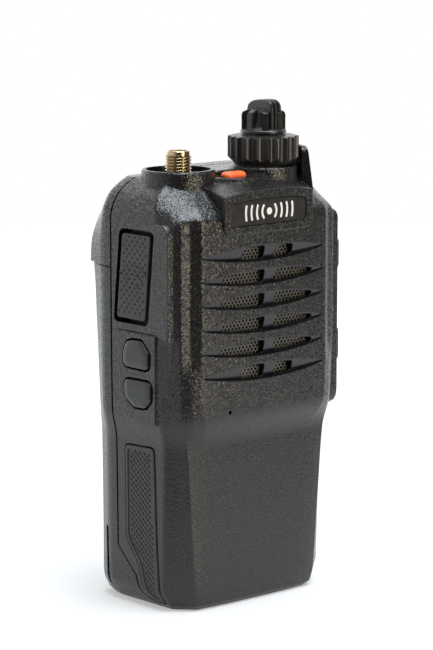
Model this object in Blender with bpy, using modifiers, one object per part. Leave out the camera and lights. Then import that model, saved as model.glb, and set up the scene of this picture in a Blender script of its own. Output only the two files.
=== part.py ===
"""A portable two-way radio, built as the separate pieces it comes apart into.

Every length below is in millimetres and every helper turns it into metres. +Z is up and the
radio stands on its bottom face at Z = 0. The front, with the loudspeaker, faces -Y. X = 0 is
the plane that the case is nearly symmetric about, and the push-to-talk side is -X.
"""

import math

import bmesh
import bpy
from mathutils import Matrix, Vector

MM = 0.001
GAP = 0.3                # between pieces that sit against each other

# The case: half widths and depths at the heights where its outline changes.
# height, half width of the side, y of the side's front edge, half width of the front face,
# y of the front face, y of the back, half width of the back
CASE_LEVELS = [
    (0.0, 21.6, -7.6, 17.6, -11.9, 16.2, 20.2),
    (1.4, 22.9, -8.2, 18.7, -13.3, 17.2, 21.2),
    (5.5, 25.3, -8.7, 19.4, -13.7, 17.8, 22.3),
    (38.0, 25.7, -9.4, 22.3, -13.9, 17.9, 22.5),
    (46.0, 27.0, -9.3, 23.2, -17.0, 18.0, 22.8),
    (79.8, 27.2, -8.7, 23.2, -17.0, 18.8, 24.0),
    (80.2, 27.2, -8.7, 23.2, -17.0, 19.8, 24.3),
    (84.6, 27.2, -8.7, 23.2, -17.0, 19.6, 24.2),
    (88.0, 27.2, -8.7, 23.2, -17.0, 18.6, 24.0),
    (91.5, 27.2, -8.6, 23.2, -16.9, 17.7, 22.9),
    (94.0, 26.8, -8.0, 22.8, -15.4, 16.8, 21.8),
    (96.0, 25.9, -7.2, 21.9, -13.4, 16.0, 20.9),
    (97.8, 24.6, -6.4, 20.5, -11.6, 15.0, 19.9),
    (99.0, 23.1, -5.8, 19.0, -10.5, 14.1, 18.9),
    (101.0, 19.6, -5.0, 15.5, -8.6, 12.6, 16.5),
]
DECK_Z = CASE_LEVELS[-1][0]
WALL = 2.2
SEAM_Y = 8.0             # front case to rear pieces
SEAM_GAP = 0.2           # on each side of the seam
FOOT_POINTS = [(-4.7, 0.0), (0.0, 8.0), (SEAM_Y, 12.5)]
BATTERY_TOP_Z = 79.8
CAVITY_FLOOR_Z = 15.0
CAVITY_TOP_Z = 96.6

# What stands on the deck
ANTENNA_AT = (-13.2, -0.5)
COLLAR_OUTER_R = 8.8
COLLAR_INNER_R = 7.8
COLLAR_TOP_Z = 102.7
WELL_FLOOR_Z = 98.4
PLATEAU_TOP_Z = 102.2
KNOB_AT = (13.5, -1.5)
PEDESTAL_R = 8.2
PEDESTAL_TOP_Z = 102.0
GUARD_INNER_R = 9.3
GUARD_OUTER_R = 11.2
GUARD_TOP_Z = 106.4
ALARM_AT = (0.3, -6.6)
ALARM_SIZE = (7.4, 3.6)
ALARM_TOP_Z = 102.3
ALARM_FLOOR_Z = 100.4

# Loudspeaker grille
SLOT_COUNT = 6
SLOT_PITCH = 5.707
SLOT_TOP_Z = 83.73
SLOT_HALF_WIDTH = 19.4
SLOT_HALF_HEIGHT = 1.9
SPEAKER_Z = 69.5
SPEAKER_R = 17.0

# Threads and shafts
SMA_THREAD_R = 3.175
SMA_TOP_Z = 107.6
VOLUME_R = 8.45
VOLUME_Z = (102.6, 109.2)
CHANNEL_R = 5.2
CHANNEL_Z = (109.6, 118.0)
FLUTES = 20

# Left side controls: y and z of each corner, going round
PTT_CORNERS = [(3.44, 88.8), (-7.36, 88.8), (-4.95, 68.3), (5.70, 68.3)]
PTT_FACE_X = -27.5
KEY_Y = (-4.8, 1.9)
KEY_Z = [(54.9, 62.1), (45.3, 52.5)]
KEY_FACE_X = -27.9
GRIP_OUTLINE = [(3.1, 37.7), (-6.7, 37.7), (-6.9, 9.0), (-6.0, 5.5), (-3.6, 5.5),
                (-0.6, 9.0), (4.0, 15.3)]
GRIP_FACE_X = 25.75

SCREW_AT = [(-19.0, 21.0), (19.0, 21.0), (-19.0, 90.0), (19.0, 48.0)]

PLASTIC = (0.035, 0.037, 0.038)


# --- scene, collections and materials -------------------------------------------------------

def clear_scene():
    for item in list(bpy.data.objects):
        bpy.data.objects.remove(item, do_unlink=True)


def new_collection(name):
    made = bpy.data.collections.new(name)
    bpy.context.scene.collection.children.link(made)
    return made


def finish_of(name, colour, roughness, metallic=0.0):
    made = bpy.data.materials.new(name)
    made.use_nodes = True
    shader = made.node_tree.nodes["Principled BSDF"]
    shader.inputs["Base Color"].default_value = (*colour, 1.0)
    shader.inputs["Roughness"].default_value = roughness
    shader.inputs["Metallic"].default_value = metallic
    made.diffuse_color = (*colour, 1.0)
    return made


clear_scene()
RADIO = new_collection("portable_radio")
CUTTERS = new_collection("cutters")
CUTTERS.hide_render = True

MOULDED = finish_of("moulded_case", PLASTIC, 0.5)
SOFT_RUBBER = finish_of("soft_rubber", (0.03, 0.03, 0.03), 0.75)
KEY_RUBBER = finish_of("key_rubber", (0.02, 0.02, 0.02), 0.3)
ORANGE = finish_of("orange_rubber", (0.9, 0.16, 0.03), 0.5)
GOLD = finish_of("gold_plate", (0.75, 0.56, 0.28), 0.25, 1.0)
PTFE = finish_of("white_ptfe", (0.85, 0.85, 0.82), 0.4)
ALLOY = finish_of("cast_alloy", (0.55, 0.56, 0.57), 0.45, 1.0)
STEEL = finish_of("zinc_steel", (0.6, 0.6, 0.6), 0.35, 1.0)
BOARD = finish_of("circuit_board", (0.02, 0.16, 0.06), 0.5)
CELL = finish_of("cell_wrap", (0.1, 0.18, 0.4), 0.4)
PAPER = finish_of("speaker_paper", (0.04, 0.04, 0.045), 0.9)
LABEL = finish_of("nameplate_face", (0.03, 0.03, 0.03), 0.35)


# --- making shapes --------------------------------------------------------------------------

def keep(mesh, name, material, collection=None):
    """An object from a mesh, in the radio unless another collection is given."""
    made = bpy.data.objects.new(name, mesh)
    (collection or RADIO).objects.link(made)
    if material:
        made.data.materials.append(material)
    return made


def as_cutter(made):
    RADIO.objects.unlink(made)
    CUTTERS.objects.link(made)
    made.hide_render = True
    made.display_type = "WIRE"
    return made


def from_bmesh(shape, name, material):
    bmesh.ops.recalc_face_normals(shape, faces=shape.faces)
    mesh = bpy.data.meshes.new(name)
    shape.to_mesh(mesh)
    shape.free()
    return keep(mesh, name, material)


def box(name, low, high, material, bevel=0.0):
    """A block between two corners, with its edges rounded if a width is given."""
    low, high = Vector(low) * MM, Vector(high) * MM
    shape = bmesh.new()
    bmesh.ops.create_cube(shape, size=1.0)
    bmesh.ops.scale(shape, vec=high - low, verts=shape.verts)
    bmesh.ops.translate(shape, vec=(high + low) / 2, verts=shape.verts)
    made = from_bmesh(shape, name, material)
    if bevel:
        add_bevel(made, bevel)
    return made


def add_bevel(made, width, segments=1):
    rounding = made.modifiers.new("rounding", "BEVEL")
    rounding.width = width * MM
    rounding.segments = segments
    rounding.limit_method = "ANGLE"
    rounding.angle_limit = math.radians(40)


def cylinder(name, centre, radius, z_low, z_high, material, segments=32, top_radius=None):
    """A round bar or a cone along Z."""
    shape = bmesh.new()
    bmesh.ops.create_cone(shape, cap_ends=True, segments=segments, radius1=radius * MM,
                          radius2=(radius if top_radius is None else top_radius) * MM,
                          depth=(z_high - z_low) * MM)
    middle = Vector((centre[0], centre[1], (z_low + z_high) / 2)) * MM
    bmesh.ops.translate(shape, vec=middle, verts=shape.verts)
    return from_bmesh(shape, name, material)


def bar_along(name, axis, start, end, radius, material, segments=16):
    """A round bar along the X or Y axis, between two points."""
    start, end = Vector(start) * MM, Vector(end) * MM
    turn = {"X": Matrix.Rotation(math.pi / 2, 4, "Y"), "Y": Matrix.Rotation(math.pi / 2, 4, "X")}
    shape = bmesh.new()
    bmesh.ops.create_cone(shape, cap_ends=True, segments=segments, radius1=radius * MM,
                          radius2=radius * MM, depth=(end - start).length)
    bmesh.ops.transform(shape, matrix=turn[axis], verts=shape.verts)
    bmesh.ops.translate(shape, vec=(start + end) / 2, verts=shape.verts)
    return from_bmesh(shape, name, material)


def turned(name, profile, centre, material, steps=32):
    """A piece of revolution about Z. The profile is (radius, z), down its outer side."""
    mesh = bpy.data.meshes.new(name)
    points = [(radius * MM, 0.0, z * MM) for radius, z in profile]
    closed = profile[0][0] > 0 and profile[-1][0] > 0
    edges = [(i, i + 1) for i in range(len(points) - 1)]
    if closed:
        edges.append((len(points) - 1, 0))
    mesh.from_pydata(points, edges, [])
    made = keep(mesh, name, material)
    made.location = (centre[0] * MM, centre[1] * MM, 0.0)
    turning = made.modifiers.new("turning", "SCREW")
    turning.steps = steps
    turning.render_steps = steps
    turning.use_merge_vertices = True
    turning.merge_threshold = 0.00001
    return made


def plate(name, outline, low, high, normal, material):
    """A flat outline given a thickness from low to high along its normal axis.

    For normal Z the outline is (x, y), for X it is (y, z) and for Y it is (x, z).
    """
    curve = bpy.data.curves.new(name, "CURVE")
    curve.dimensions = "2D"
    curve.fill_mode = "BOTH"
    curve.extrude = (high - low) / 2 * MM
    line = curve.splines.new("POLY")
    line.points.add(len(outline) - 1)
    for point, (a, b) in zip(line.points, outline):
        point.co = (a * MM, b * MM, 0.0, 1.0)
    line.use_cyclic_u = True
    guide = bpy.data.objects.new(name, curve)
    RADIO.objects.link(guide)
    columns = {"Z": ((1, 0, 0), (0, 1, 0), (0, 0, 1)),
               "X": ((0, 1, 0), (0, 0, 1), (1, 0, 0)),
               "Y": ((1, 0, 0), (0, 0, 1), (0, -1, 0))}[normal]
    frame = Matrix(columns).transposed().to_4x4()
    middle = (low + high) / 2 * MM
    frame.translation = {"Z": (0, 0, middle), "X": (middle, 0, 0), "Y": (0, middle, 0)}[normal]
    bpy.context.view_layer.update()
    graph = bpy.context.evaluated_depsgraph_get()
    mesh = bpy.data.meshes.new_from_object(guide.evaluated_get(graph))
    bpy.data.objects.remove(guide, do_unlink=True)
    shape = bmesh.new()
    shape.from_mesh(mesh)
    bpy.data.meshes.remove(mesh)
    bmesh.ops.remove_doubles(shape, verts=shape.verts, dist=0.00001)
    bmesh.ops.transform(shape, matrix=frame, verts=shape.verts)
    return from_bmesh(shape, name, material)


def loft(name, rings, material):
    """A closed skin through rings that all have the same number of points."""
    shape = bmesh.new()
    rows = [[shape.verts.new(Vector(p) * MM) for p in ring] for ring in rings]
    for lower, upper in zip(rows, rows[1:]):
        for i in range(len(lower)):
            j = (i + 1) % len(lower)
            shape.faces.new((lower[i], lower[j], upper[j], upper[i]))
    shape.faces.new(rows[0])
    shape.faces.new(rows[-1])
    return from_bmesh(shape, name, material)


def combine(made, other, operation):
    step = made.modifiers.new(f"{operation.lower()}_{other.name}", "BOOLEAN")
    step.operation = operation
    step.object = other
    step.solver = "EXACT"


def cut(made, *cutters):
    for cutter in cutters:
        combine(made, as_cutter(cutter) if cutter.name in RADIO.objects else cutter,
                "DIFFERENCE")


def join(made, *others):
    for other in others:
        combine(made, as_cutter(other), "UNION")


def circle_points(centre, radius, count, start=0.0, sweep=math.tau):
    whole = abs(sweep - math.tau) < 1e-6
    steps = count if whole else count - 1
    return [(centre[0] + radius * math.cos(start + sweep * i / steps),
             centre[1] + radius * math.sin(start + sweep * i / steps)) for i in range(count)]


# --- the outside of the case ----------------------------------------------------------------

def case_sizes(z):
    """The six sizes of CASE_LEVELS at a height, part way between two of its rows."""
    for lower, upper in zip(CASE_LEVELS, CASE_LEVELS[1:]):
        if z <= upper[0]:
            part = (z - lower[0]) / (upper[0] - lower[0])
            return [a + (b - a) * part for a, b in zip(lower[1:], upper[1:])]
    return CASE_LEVELS[-1][1:]


def case_ring(z, inset=0.0):
    """One outline of the case at a height, counter-clockwise seen from above."""
    side, side_y, face, face_y, back_y, back = case_sizes(z)
    half = [
        (0.0, face_y - 0.7 + inset),
        (face * 0.5 - inset / 2, face_y - 0.5 + inset),
        (face - 3.0 - inset, face_y + inset),
        (face - inset, face_y + 0.9 + inset),
        ((face + side) / 2 - inset, (face_y + side_y) / 2 + 0.4 + inset / 2),
        (side - inset, side_y + inset / 3),
        (side - inset, 11.5 - inset / 3),
        (back - inset, back_y - inset),
    ]
    left = [(-x, y) for x, y in reversed(half) if x > 0]
    return [(x, y, z) for x, y in half + left]


def case_skin(name, inset, z_low, z_high):
    heights = [level[0] for level in CASE_LEVELS if z_low < level[0] < z_high]
    return loft(name, [case_ring(z, inset) for z in [z_low, *heights, z_high]], MOULDED)


def region(name, outline):
    """A wide prism with a (y, z) outline, for taking one part of the case."""
    return plate(name, outline, -40.0, 40.0, "X", None)


def seam_line(shift):
    return [(y + shift, z) for y, z in FOOT_POINTS] + [(SEAM_Y + shift, 120.0)]


def front_case():
    """The front half: the shell that holds the loudspeaker, the controls and the board."""
    made = case_skin("front_case", 0.0, 0.0, DECK_Z)
    plateau = plate("plateau", [(-3.4, -3.2), (17.6, -3.2), (17.6, SEAM_Y + 1.0),
                                (-3.4, SEAM_Y + 1.0)], 97.0, PLATEAU_TOP_Z, "Z", None)
    block = plate("nameplate_block", [(-17.95, 88.4), (-17.95, 97.8), (-8.4, 99.9), (-8.4, 93.0),
                                      (-15.0, 88.4)], -14.0, 14.0, "X", None)
    alarm_floor = box("alarm_floor", (-4.6, -14.0, ALARM_FLOOR_Z), (5.2, -3.2, 120.0), None)
    boss = cylinder("alarm_boss", ALARM_AT, 4.6, 95.0, ALARM_FLOOR_Z, None, 24)
    collar = cylinder("collar", ANTENNA_AT, COLLAR_OUTER_R, 92.0, COLLAR_TOP_Z, None, 40)
    pedestal = cylinder("pedestal", KNOB_AT, PEDESTAL_R, 95.0, PEDESTAL_TOP_Z, None, 32)
    guard_outline = (circle_points(KNOB_AT, GUARD_OUTER_R, 9, math.radians(-42), math.radians(92))
                     + circle_points(KNOB_AT, GUARD_INNER_R, 9, math.radians(50),
                                     math.radians(-92)))
    guard = plate("guard", guard_outline, 96.0, GUARD_TOP_Z, "Z", None)
    join(made, plateau, block)
    cut(made, alarm_floor)
    join(made, boss, collar, pedestal, guard)
    line = seam_line(-SEAM_GAP)
    front = region("front_region", [(-40.0, 120.0), (-40.0, -1.0), (line[0][0] - 0.6, -1.0)]
                   + line)
    combine(made, as_cutter(front), "INTERSECT")
    cavity = case_skin("case_cavity", WALL, CAVITY_FLOOR_Z, CAVITY_TOP_Z)
    behind = box("cavity_behind", (-22.0, 5.0, CAVITY_FLOOR_Z), (22.0, 12.0, CAVITY_TOP_Z - 0.5),
                 None)
    foot = box("foot_pocket", (-18.0, -11.0, 3.2), (18.0, -5.6, CAVITY_FLOOR_Z + 1.0), None)
    cut(made, cavity, behind, foot)
    for x, z in SCREW_AT:
        boss = bar_along(f"boss_{x:.0f}_{z:.0f}", "Y", (x, -15.0 if z > 40 else -12.0, z),
                         (x, 4.2, z), 2.6, None, 12)
        join(made, boss)
    for x, z in SCREW_AT:
        hole = bar_along(f"boss_hole_{x:.0f}_{z:.0f}", "Y", (x, -8.0, z), (x, 6.0, z), 1.3,
                         None, 12)
        cut(made, hole)
    return made


def slot_heights():
    return [SLOT_TOP_Z - i * SLOT_PITCH for i in range(SLOT_COUNT)]


def slot_outline(z, half_width, half_height):
    """A lens: two shallow arcs that meet in a point at each end."""
    steps = [i / 6 for i in range(7)]
    top = [(half_width * (2 * t - 1), z + half_height * math.sin(math.pi * t) ** 0.7)
           for t in steps]
    bottom = [(x, 2 * z - height) for x, height in reversed(top[1:-1])]
    return top + bottom


def cut_front_case(made):
    """The openings in the front case."""
    for i, z in enumerate(slot_heights()):
        reach = 7.2 if i in (0, SLOT_COUNT - 1) else 13.8
        cut(made, plate(f"slot_{i}", slot_outline(z, SLOT_HALF_WIDTH, SLOT_HALF_HEIGHT),
                        -25.0, -16.3, "Y", None))
        for side in (-1, 1):
            ends = sorted((side * 1.8, side * reach))
            cut(made, box(f"window_{i}_{side}", (ends[0], -20.0, z - 1.2),
                          (ends[1], -12.0, z + 1.2), None))
    cut(made, bar_along("mic_hole", "Y", (-11.7, -20.0, 46.2), (-11.7, -12.0, 46.2), 0.45,
                        None, 8))
    cut(made, plate("nameplate_seat", nameplate_outline(GAP), -20.0, -17.3, "Y", None))
    cut(made, cylinder("well", ANTENNA_AT, COLLAR_INNER_R, WELL_FLOOR_Z, 110.0, None, 40))
    cut(made, cylinder("sma_hole", ANTENNA_AT, SMA_THREAD_R + GAP, 90.0, 110.0, None, 24))
    cut(made, cylinder("shaft_hole", KNOB_AT, 3.8, 90.0, 110.0, None, 24))
    cut(made, plate("alarm_hole", capsule(ALARM_AT, ALARM_SIZE, GAP), 90.0, 110.0, "Z", None))
    ptt = [(y + (0.5 if y > 0 else -0.5), z + (0.5 if z > 80 else -0.5)) for y, z in PTT_CORNERS]
    cut(made, plate("ptt_hole", ptt, -40.0, -20.0, "X", None))
    for low, high in KEY_Z:
        cut(made, plate(f"key_hole_{high:.0f}", key_outline(low, high, 0.35), -40.0, -20.0,
                        "X", None))
    for side in (-1, 1):
        ends = sorted((side * 24.6, side * 40.0))
        cut(made, plate(f"grip_seat_{side}", grown(GRIP_OUTLINE, GAP), *ends, "X", None))
    cut(made, box("jack_opening", (20.0, -3.6, 53.6), (40.0, 4.6, 83.4), None),
        box("cover_seat", (25.7, -4.9, 52.1), (40.0, 5.9, 84.7), None))


def grown(outline, extra):
    """A rough offset: each point moves away from the outline's middle."""
    middle = (sum(p[0] for p in outline) / len(outline), sum(p[1] for p in outline) / len(outline))
    return [(a + math.copysign(extra, a - middle[0]), b + math.copysign(extra, b - middle[1]))
            for a, b in outline]


def capsule(centre, size, extra=0.0):
    radius = size[1] / 2 + extra
    reach = (size[0] - size[1]) / 2
    right = circle_points((centre[0] + reach, centre[1]), radius, 9, -math.pi / 2, math.pi)
    left = circle_points((centre[0] - reach, centre[1]), radius, 9, math.pi / 2, math.pi)
    return right + left


def key_outline(low, high, extra=0.0):
    y0, y1 = KEY_Y[0] - extra, KEY_Y[1] + extra
    z0, z1 = low - extra, high + extra
    corner = 1.5
    return [(y0 + corner, z0), (y1 - corner, z0), (y1, z0 + corner), (y1, z1 - corner),
            (y1 - corner, z1), (y0 + corner, z1), (y0, z1 - corner), (y0, z0 + corner)]


def nameplate_outline(extra=0.0):
    half, low, high, arch = 12.2 + extra, 89.9 - extra, 95.6 + extra, 0.8
    corner = 1.4
    top = [(half * (1 - 2 * t), high + arch * math.sin(math.pi * t))
           for t in (0.0, 0.25, 0.5, 0.75, 1.0)]
    return [(-half, low + corner), (-half + corner, low), (half - corner, low),
            (half, low + corner)] + top


# --- pieces fixed to the case ---------------------------------------------------------------

def rear_chassis():
    """The cap behind the deck that the battery locks under."""
    made = case_skin("rear_chassis", 0.0, 60.0, DECK_Z)
    back = seam_line(SEAM_GAP)[-1][0]
    lift = plate("chassis_deck", [(-14.5, 6.0), (17.6, 6.0), (15.5, 13.2), (-13.0, 13.2)],
                 97.0, PLATEAU_TOP_Z, "Z", None)
    join(made, lift)
    area = [(back, BATTERY_TOP_Z + 0.4), (40.0, BATTERY_TOP_Z + 0.4), (40.0, 120.0),
            (back, 120.0)]
    combine(made, as_cutter(region("chassis_region", area)), "INTERSECT")
    cut(made, box("chassis_cavity", (-20.0, 0.0, 83.0), (20.0, 14.4, CAVITY_TOP_Z), None))
    cut(made, box("latch_seat", (-7.3, 16.1, 70.0), (7.3, 30.0, 88.3), None))


def main_frame():
    """The cast frame behind the board. It closes the case and carries the battery."""
    made = box("main_frame", (-22.4, 4.6, 16.0), (22.4, 7.0, 96.0), ALLOY)
    join(made, box("frame_rib_low", (-15.5, 2.4, 26.0), (15.5, 5.0, 28.0), None),
         box("frame_rib_high", (-15.5, 2.4, 86.5), (6.5, 5.0, 88.5), None))
    cut(made, box("contact_window", (-8.3, 0.0, 66.7), (8.3, 12.0, 75.3), None))
    for x, z in SCREW_AT:
        cut(made, bar_along(f"frame_hole_{x:.0f}_{z:.0f}", "Y", (x, 0.0, z), (x, 12.0, z), 1.5,
                            None, 12),
            bar_along(f"frame_sink_{x:.0f}_{z:.0f}", "Y", (x, 5.7, z), (x, 12.0, z), 2.6,
                      None, 16))
    for i, (x, z) in enumerate([(-22.6, 60.0), (22.6, 60.0)]):
        cut(made, box(f"frame_notch_{i}", (x - 1.5, 0.0, z - 16.0), (x + 1.5, 12.0, z + 25.0),
                      None))


def case_screws():
    """Four pan-head screws through the frame into the case's bosses."""
    for i, (x, z) in enumerate(SCREW_AT, start=1):
        made = bar_along(f"case_screw_{i}", "Y", (x, -5.0, z), (x, 6.2, z), 1.0, STEEL, 12)
        head = bar_along(f"screw_head_{i}", "Y", (x, 6.0, z), (x, 7.4, z), 2.2, None, 16)
        join(made, head)
        cut(made, box(f"drive_slot_{i}", (x - 1.5, 6.9, z - 0.25), (x + 1.5, 9.0, z + 0.25),
                      None))


def loudspeaker():
    """Mesh, basket, cone and magnet, from the grille back."""
    box("speaker_mesh", (-17.6, -13.95, 52.0), (17.6, -13.65, 87.3), STEEL)
    basket = turned("speaker_frame", [(SPEAKER_R, 0.0), (SPEAKER_R, -1.6), (13.0, -1.6),
                                      (9.0, -5.4), (7.8, -5.4), (7.8, -4.6), (12.4, -1.1),
                                      (15.0, -1.1), (15.0, 0.0)], (0, 0), STEEL, 40)
    cone = turned("speaker_cone", [(0.0, 0.9), (3.6, 0.0), (14.2, 1.6), (14.5, 1.6),
                                   (14.5, 1.2), (3.6, -0.5), (0.0, 0.3)], (0, 0), PAPER, 32)
    magnet = cylinder("speaker_magnet", (0, 0), 7.2, -7.4, -3.0, ALLOY, 32)
    forward = Matrix.Rotation(math.pi / 2, 4, "X")
    for piece, depth in ((basket, -13.3), (cone, -11.7), (magnet, -12.2)):
        piece.matrix_world = Matrix.Translation(Vector((0.0, depth, SPEAKER_Z)) * MM) @ forward


def microphone():
    bar_along("microphone", "Y", (-11.7, -11.6, 46.2), (-11.7, -9.4, 46.2), 2.8, ALLOY, 24)
    boot = bar_along("microphone_boot", "Y", (-11.7, -13.0, 46.2), (-11.7, -9.6, 46.2), 3.7,
                     SOFT_RUBBER, 24)
    cut(boot, bar_along("boot_pocket", "Y", (-11.7, -11.9, 46.2), (-11.7, -8.0, 46.2), 3.1,
                        None, 24),
        bar_along("boot_port", "Y", (-11.7, -20.0, 46.2), (-11.7, -8.0, 46.2), 0.7, None, 12))


def electronics():
    """The board, its screening can, the switches and the contacts for the battery."""
    board = box("main_board", (-21.4, -1.0, 18.0), (18.6, 0.2, 83.0), BOARD)
    for x, z in SCREW_AT:
        cut(board, bar_along(f"board_hole_{x:.0f}_{z:.0f}", "Y", (x, -5.0, z), (x, 5.0, z), 3.0,
                             None, 16))
    box("shield_can", (-14.0, -4.0, 24.0), (12.0, -1.3, 50.0), STEEL, 0.6)
    block = box("contact_block", (-8.0, 3.2, 67.0), (8.0, 7.6, 75.0), MOULDED)
    for i in (-1, 0, 1):
        cut(block, bar_along(f"contact_hole_{i}", "Y", (i * 4.5, 2.0, 71.0), (i * 4.5, 9.0, 71.0),
                             1.2, None, 12))
        bar_along(f"battery_pin_{i + 2}", "Y", (i * 4.5, 1.0, 71.0), (i * 4.5, 8.3, 71.0), 0.8,
                  GOLD, 12)
    y_mid = sum(KEY_Y) / 2
    box("key_switch_upper", (-23.0, y_mid - 2.2, 56.3), (-21.7, y_mid + 2.2, 60.7), STEEL)
    box("key_switch_lower", (-23.0, y_mid - 2.2, 46.7), (-21.7, y_mid + 2.2, 51.1), STEEL)
    box("ptt_switch", (-23.0, -3.0, 76.3), (-21.7, 1.4, 80.7), STEEL)
    x, y = ALARM_AT
    box("alarm_switch", (x - 2.2, y - 2.2, 91.6), (x + 2.2, y + 2.2, 93.6), STEEL)


def antenna_socket():
    """The threaded antenna socket: body, nut, insulator and centre contact."""
    body = [(SMA_THREAD_R - 0.6, SMA_TOP_Z), (SMA_THREAD_R - 0.45, SMA_TOP_Z - 1.3)]
    pitch = 0.95
    crest = SMA_TOP_Z - 1.5
    while crest - pitch > WELL_FLOOR_Z + 2.2:
        body += [(SMA_THREAD_R, crest - 0.2), (SMA_THREAD_R, crest - 0.4),
                 (SMA_THREAD_R - 0.45, crest - 0.75)]
        crest -= pitch
    body += [(SMA_THREAD_R, crest), (SMA_THREAD_R, CAVITY_TOP_Z - 0.4),
             (4.6, CAVITY_TOP_Z - 0.4), (4.6, 94.6), (2.5, 94.6), (2.5, 90.0), (2.2, 90.0),
             (2.2, SMA_TOP_Z)]
    turned("sma_socket", body, ANTENNA_AT, GOLD, 24)
    turned("sma_insulator", [(1.9, SMA_TOP_Z - 0.4), (1.9, 91.0), (0.95, 91.0),
                             (0.95, SMA_TOP_Z - 0.4)], ANTENNA_AT, PTFE, 24)
    turned("sma_contact", [(0.65, SMA_TOP_Z - 0.5), (0.65, 88.0), (0.0, 88.0),
                           (0.0, SMA_TOP_Z - 2.5), (0.4, SMA_TOP_Z - 2.5),
                           (0.4, SMA_TOP_Z - 0.5)], ANTENNA_AT, GOLD, 16)
    nut = cylinder("sma_nut", ANTENNA_AT, 4.75, WELL_FLOOR_Z + GAP, WELL_FLOOR_Z + 2.0, GOLD, 6)
    cut(nut, cylinder("nut_bore", ANTENNA_AT, SMA_THREAD_R + GAP, 90.0, 110.0, None, 24))


def knobs():
    """Two knobs on one axis: the wide volume ring, and the channel knob above it."""
    x, y = KNOB_AT
    low, high = VOLUME_Z
    scallops = []
    for i in range(FLUTES):
        middle = math.tau * i / FLUTES
        for shift, radius in ((-0.36, VOLUME_R), (-0.14, VOLUME_R - 0.55),
                              (0.14, VOLUME_R - 0.55), (0.36, VOLUME_R)):
            angle = middle + shift * math.tau / FLUTES
            scallops.append((x + radius * math.cos(angle), y + radius * math.sin(angle)))
    ring = plate("volume_knob", scallops, low, high - 0.9, "Z", MOULDED)
    join(ring, cylinder("ring_top", KNOB_AT, VOLUME_R, high - 1.3, high, None, 40,
                        VOLUME_R - 0.9))
    cut(ring, cylinder("ring_bore", KNOB_AT, 2.5, 90.0, 120.0, None, 24),
        cylinder("ring_pocket", KNOB_AT, 6.2, 90.0, low + 2.6, None, 32))
    turned("volume_shaft", [(3.0, low + 2.3), (3.0, 97.0), (1.9, 97.0), (1.9, low + 2.3)],
           KNOB_AT, ALLOY, 24)
    low, high = CHANNEL_Z
    knob = cylinder("channel_knob", KNOB_AT, CHANNEL_R, low, low + 1.0, MOULDED, 32)
    core = cylinder("channel_core", KNOB_AT, CHANNEL_R - 1.2, low, high, None, 24,
                    CHANNEL_R - 2.2)
    join(knob, core)
    for i in range(8):
        tall = i in (0, 4)
        rib = box(f"rib_{i}", (1.0, -0.75, low + 0.2), (CHANNEL_R, 0.75,
                                                       high - (0.2 if tall else 2.4)), None)
        spin = Matrix.Rotation(math.tau * i / 8 + math.radians(48), 4, "Z")
        rib.matrix_world = Matrix.Translation(Vector((x, y, 0.0)) * MM) @ spin
        join(knob, rib)
    cut(knob, cylinder("knob_bore", KNOB_AT, 1.8, 90.0, high - 2.5, None, 16))
    cylinder("channel_shaft", KNOB_AT, 1.5, 96.0, high - 2.8, ALLOY, 16)
    body = box("encoder_body", (x - 6.0, y - 6.0, 86.0), (x + 6.0, y + 5.5, 95.7), STEEL)
    bushing = cylinder("encoder_bushing", KNOB_AT, 3.45, 90.0, 102.6, None, 24)
    join(body, bushing)
    cut(body, cylinder("bushing_bore", KNOB_AT, 3.25, 96.6, 110.0, None, 24),
        cylinder("shaft_seat", KNOB_AT, 1.8, 95.0, 110.0, None, 16))
    nut = cylinder("encoder_nut", KNOB_AT, 5.4, PEDESTAL_TOP_Z + GAP, PEDESTAL_TOP_Z + 1.8,
                   STEEL, 6)
    cut(nut, cylinder("encoder_nut_bore", KNOB_AT, 3.75, 90.0, 120.0, None, 24))


def side_controls():
    """The push-to-talk bar, the two keys under it and the rubber pad behind them."""
    ptt = plate("ptt_button", PTT_CORNERS, PTT_FACE_X, -25.5, "X", SOFT_RUBBER)
    add_bevel(ptt, 0.5)
    for name, (low, high) in zip(("side_key_upper", "side_key_lower"), KEY_Z):
        key = plate(name, key_outline(low, high), KEY_FACE_X, -25.0, "X", KEY_RUBBER)
        add_bevel(key, 0.6)
    box("keypad_membrane", (-24.1, -6.0, 44.0), (-23.4, 4.5, 90.4), SOFT_RUBBER)


def alarm_button():
    button = plate("alarm_button", capsule(ALARM_AT, ALARM_SIZE), 94.6, ALARM_TOP_Z, "Z",
                   ORANGE)
    add_bevel(button, 0.7, 2)


def side_panels():
    """The grip inlays and, on the right, the accessory socket under its cover."""
    for name, side in (("grip_panel_left", -1), ("grip_panel_right", 1)):
        ends = sorted((side * 24.9, side * GRIP_FACE_X))
        plate(name, GRIP_OUTLINE, *ends, "X", SOFT_RUBBER)
    jack = box("accessory_jack", (18.9, -3.2, 54.0), (25.6, 4.2, 83.0), MOULDED)
    for z in (61.0, 70.0):
        cut(jack, bar_along(f"jack_hole_{z:.0f}", "X", (19.9, 0.5, z), (30.0, 0.5, z), 1.75,
                            None, 16))
    cover = box("accessory_cover", (26.0, -4.6, 52.4), (28.9, 5.6, 84.4), SOFT_RUBBER, 0.6)
    join(cover, box("cover_head", (27.2, -4.0, 76.0), (30.0, 5.0, 83.8), None),
         box("cover_foot", (27.2, -4.0, 53.0), (30.0, 5.0, 61.5), None))


def nameplate():
    plate("nameplate", nameplate_outline(), -17.9, -17.6, "Y", LABEL)


# --- battery and latch ----------------------------------------------------------------------

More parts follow.
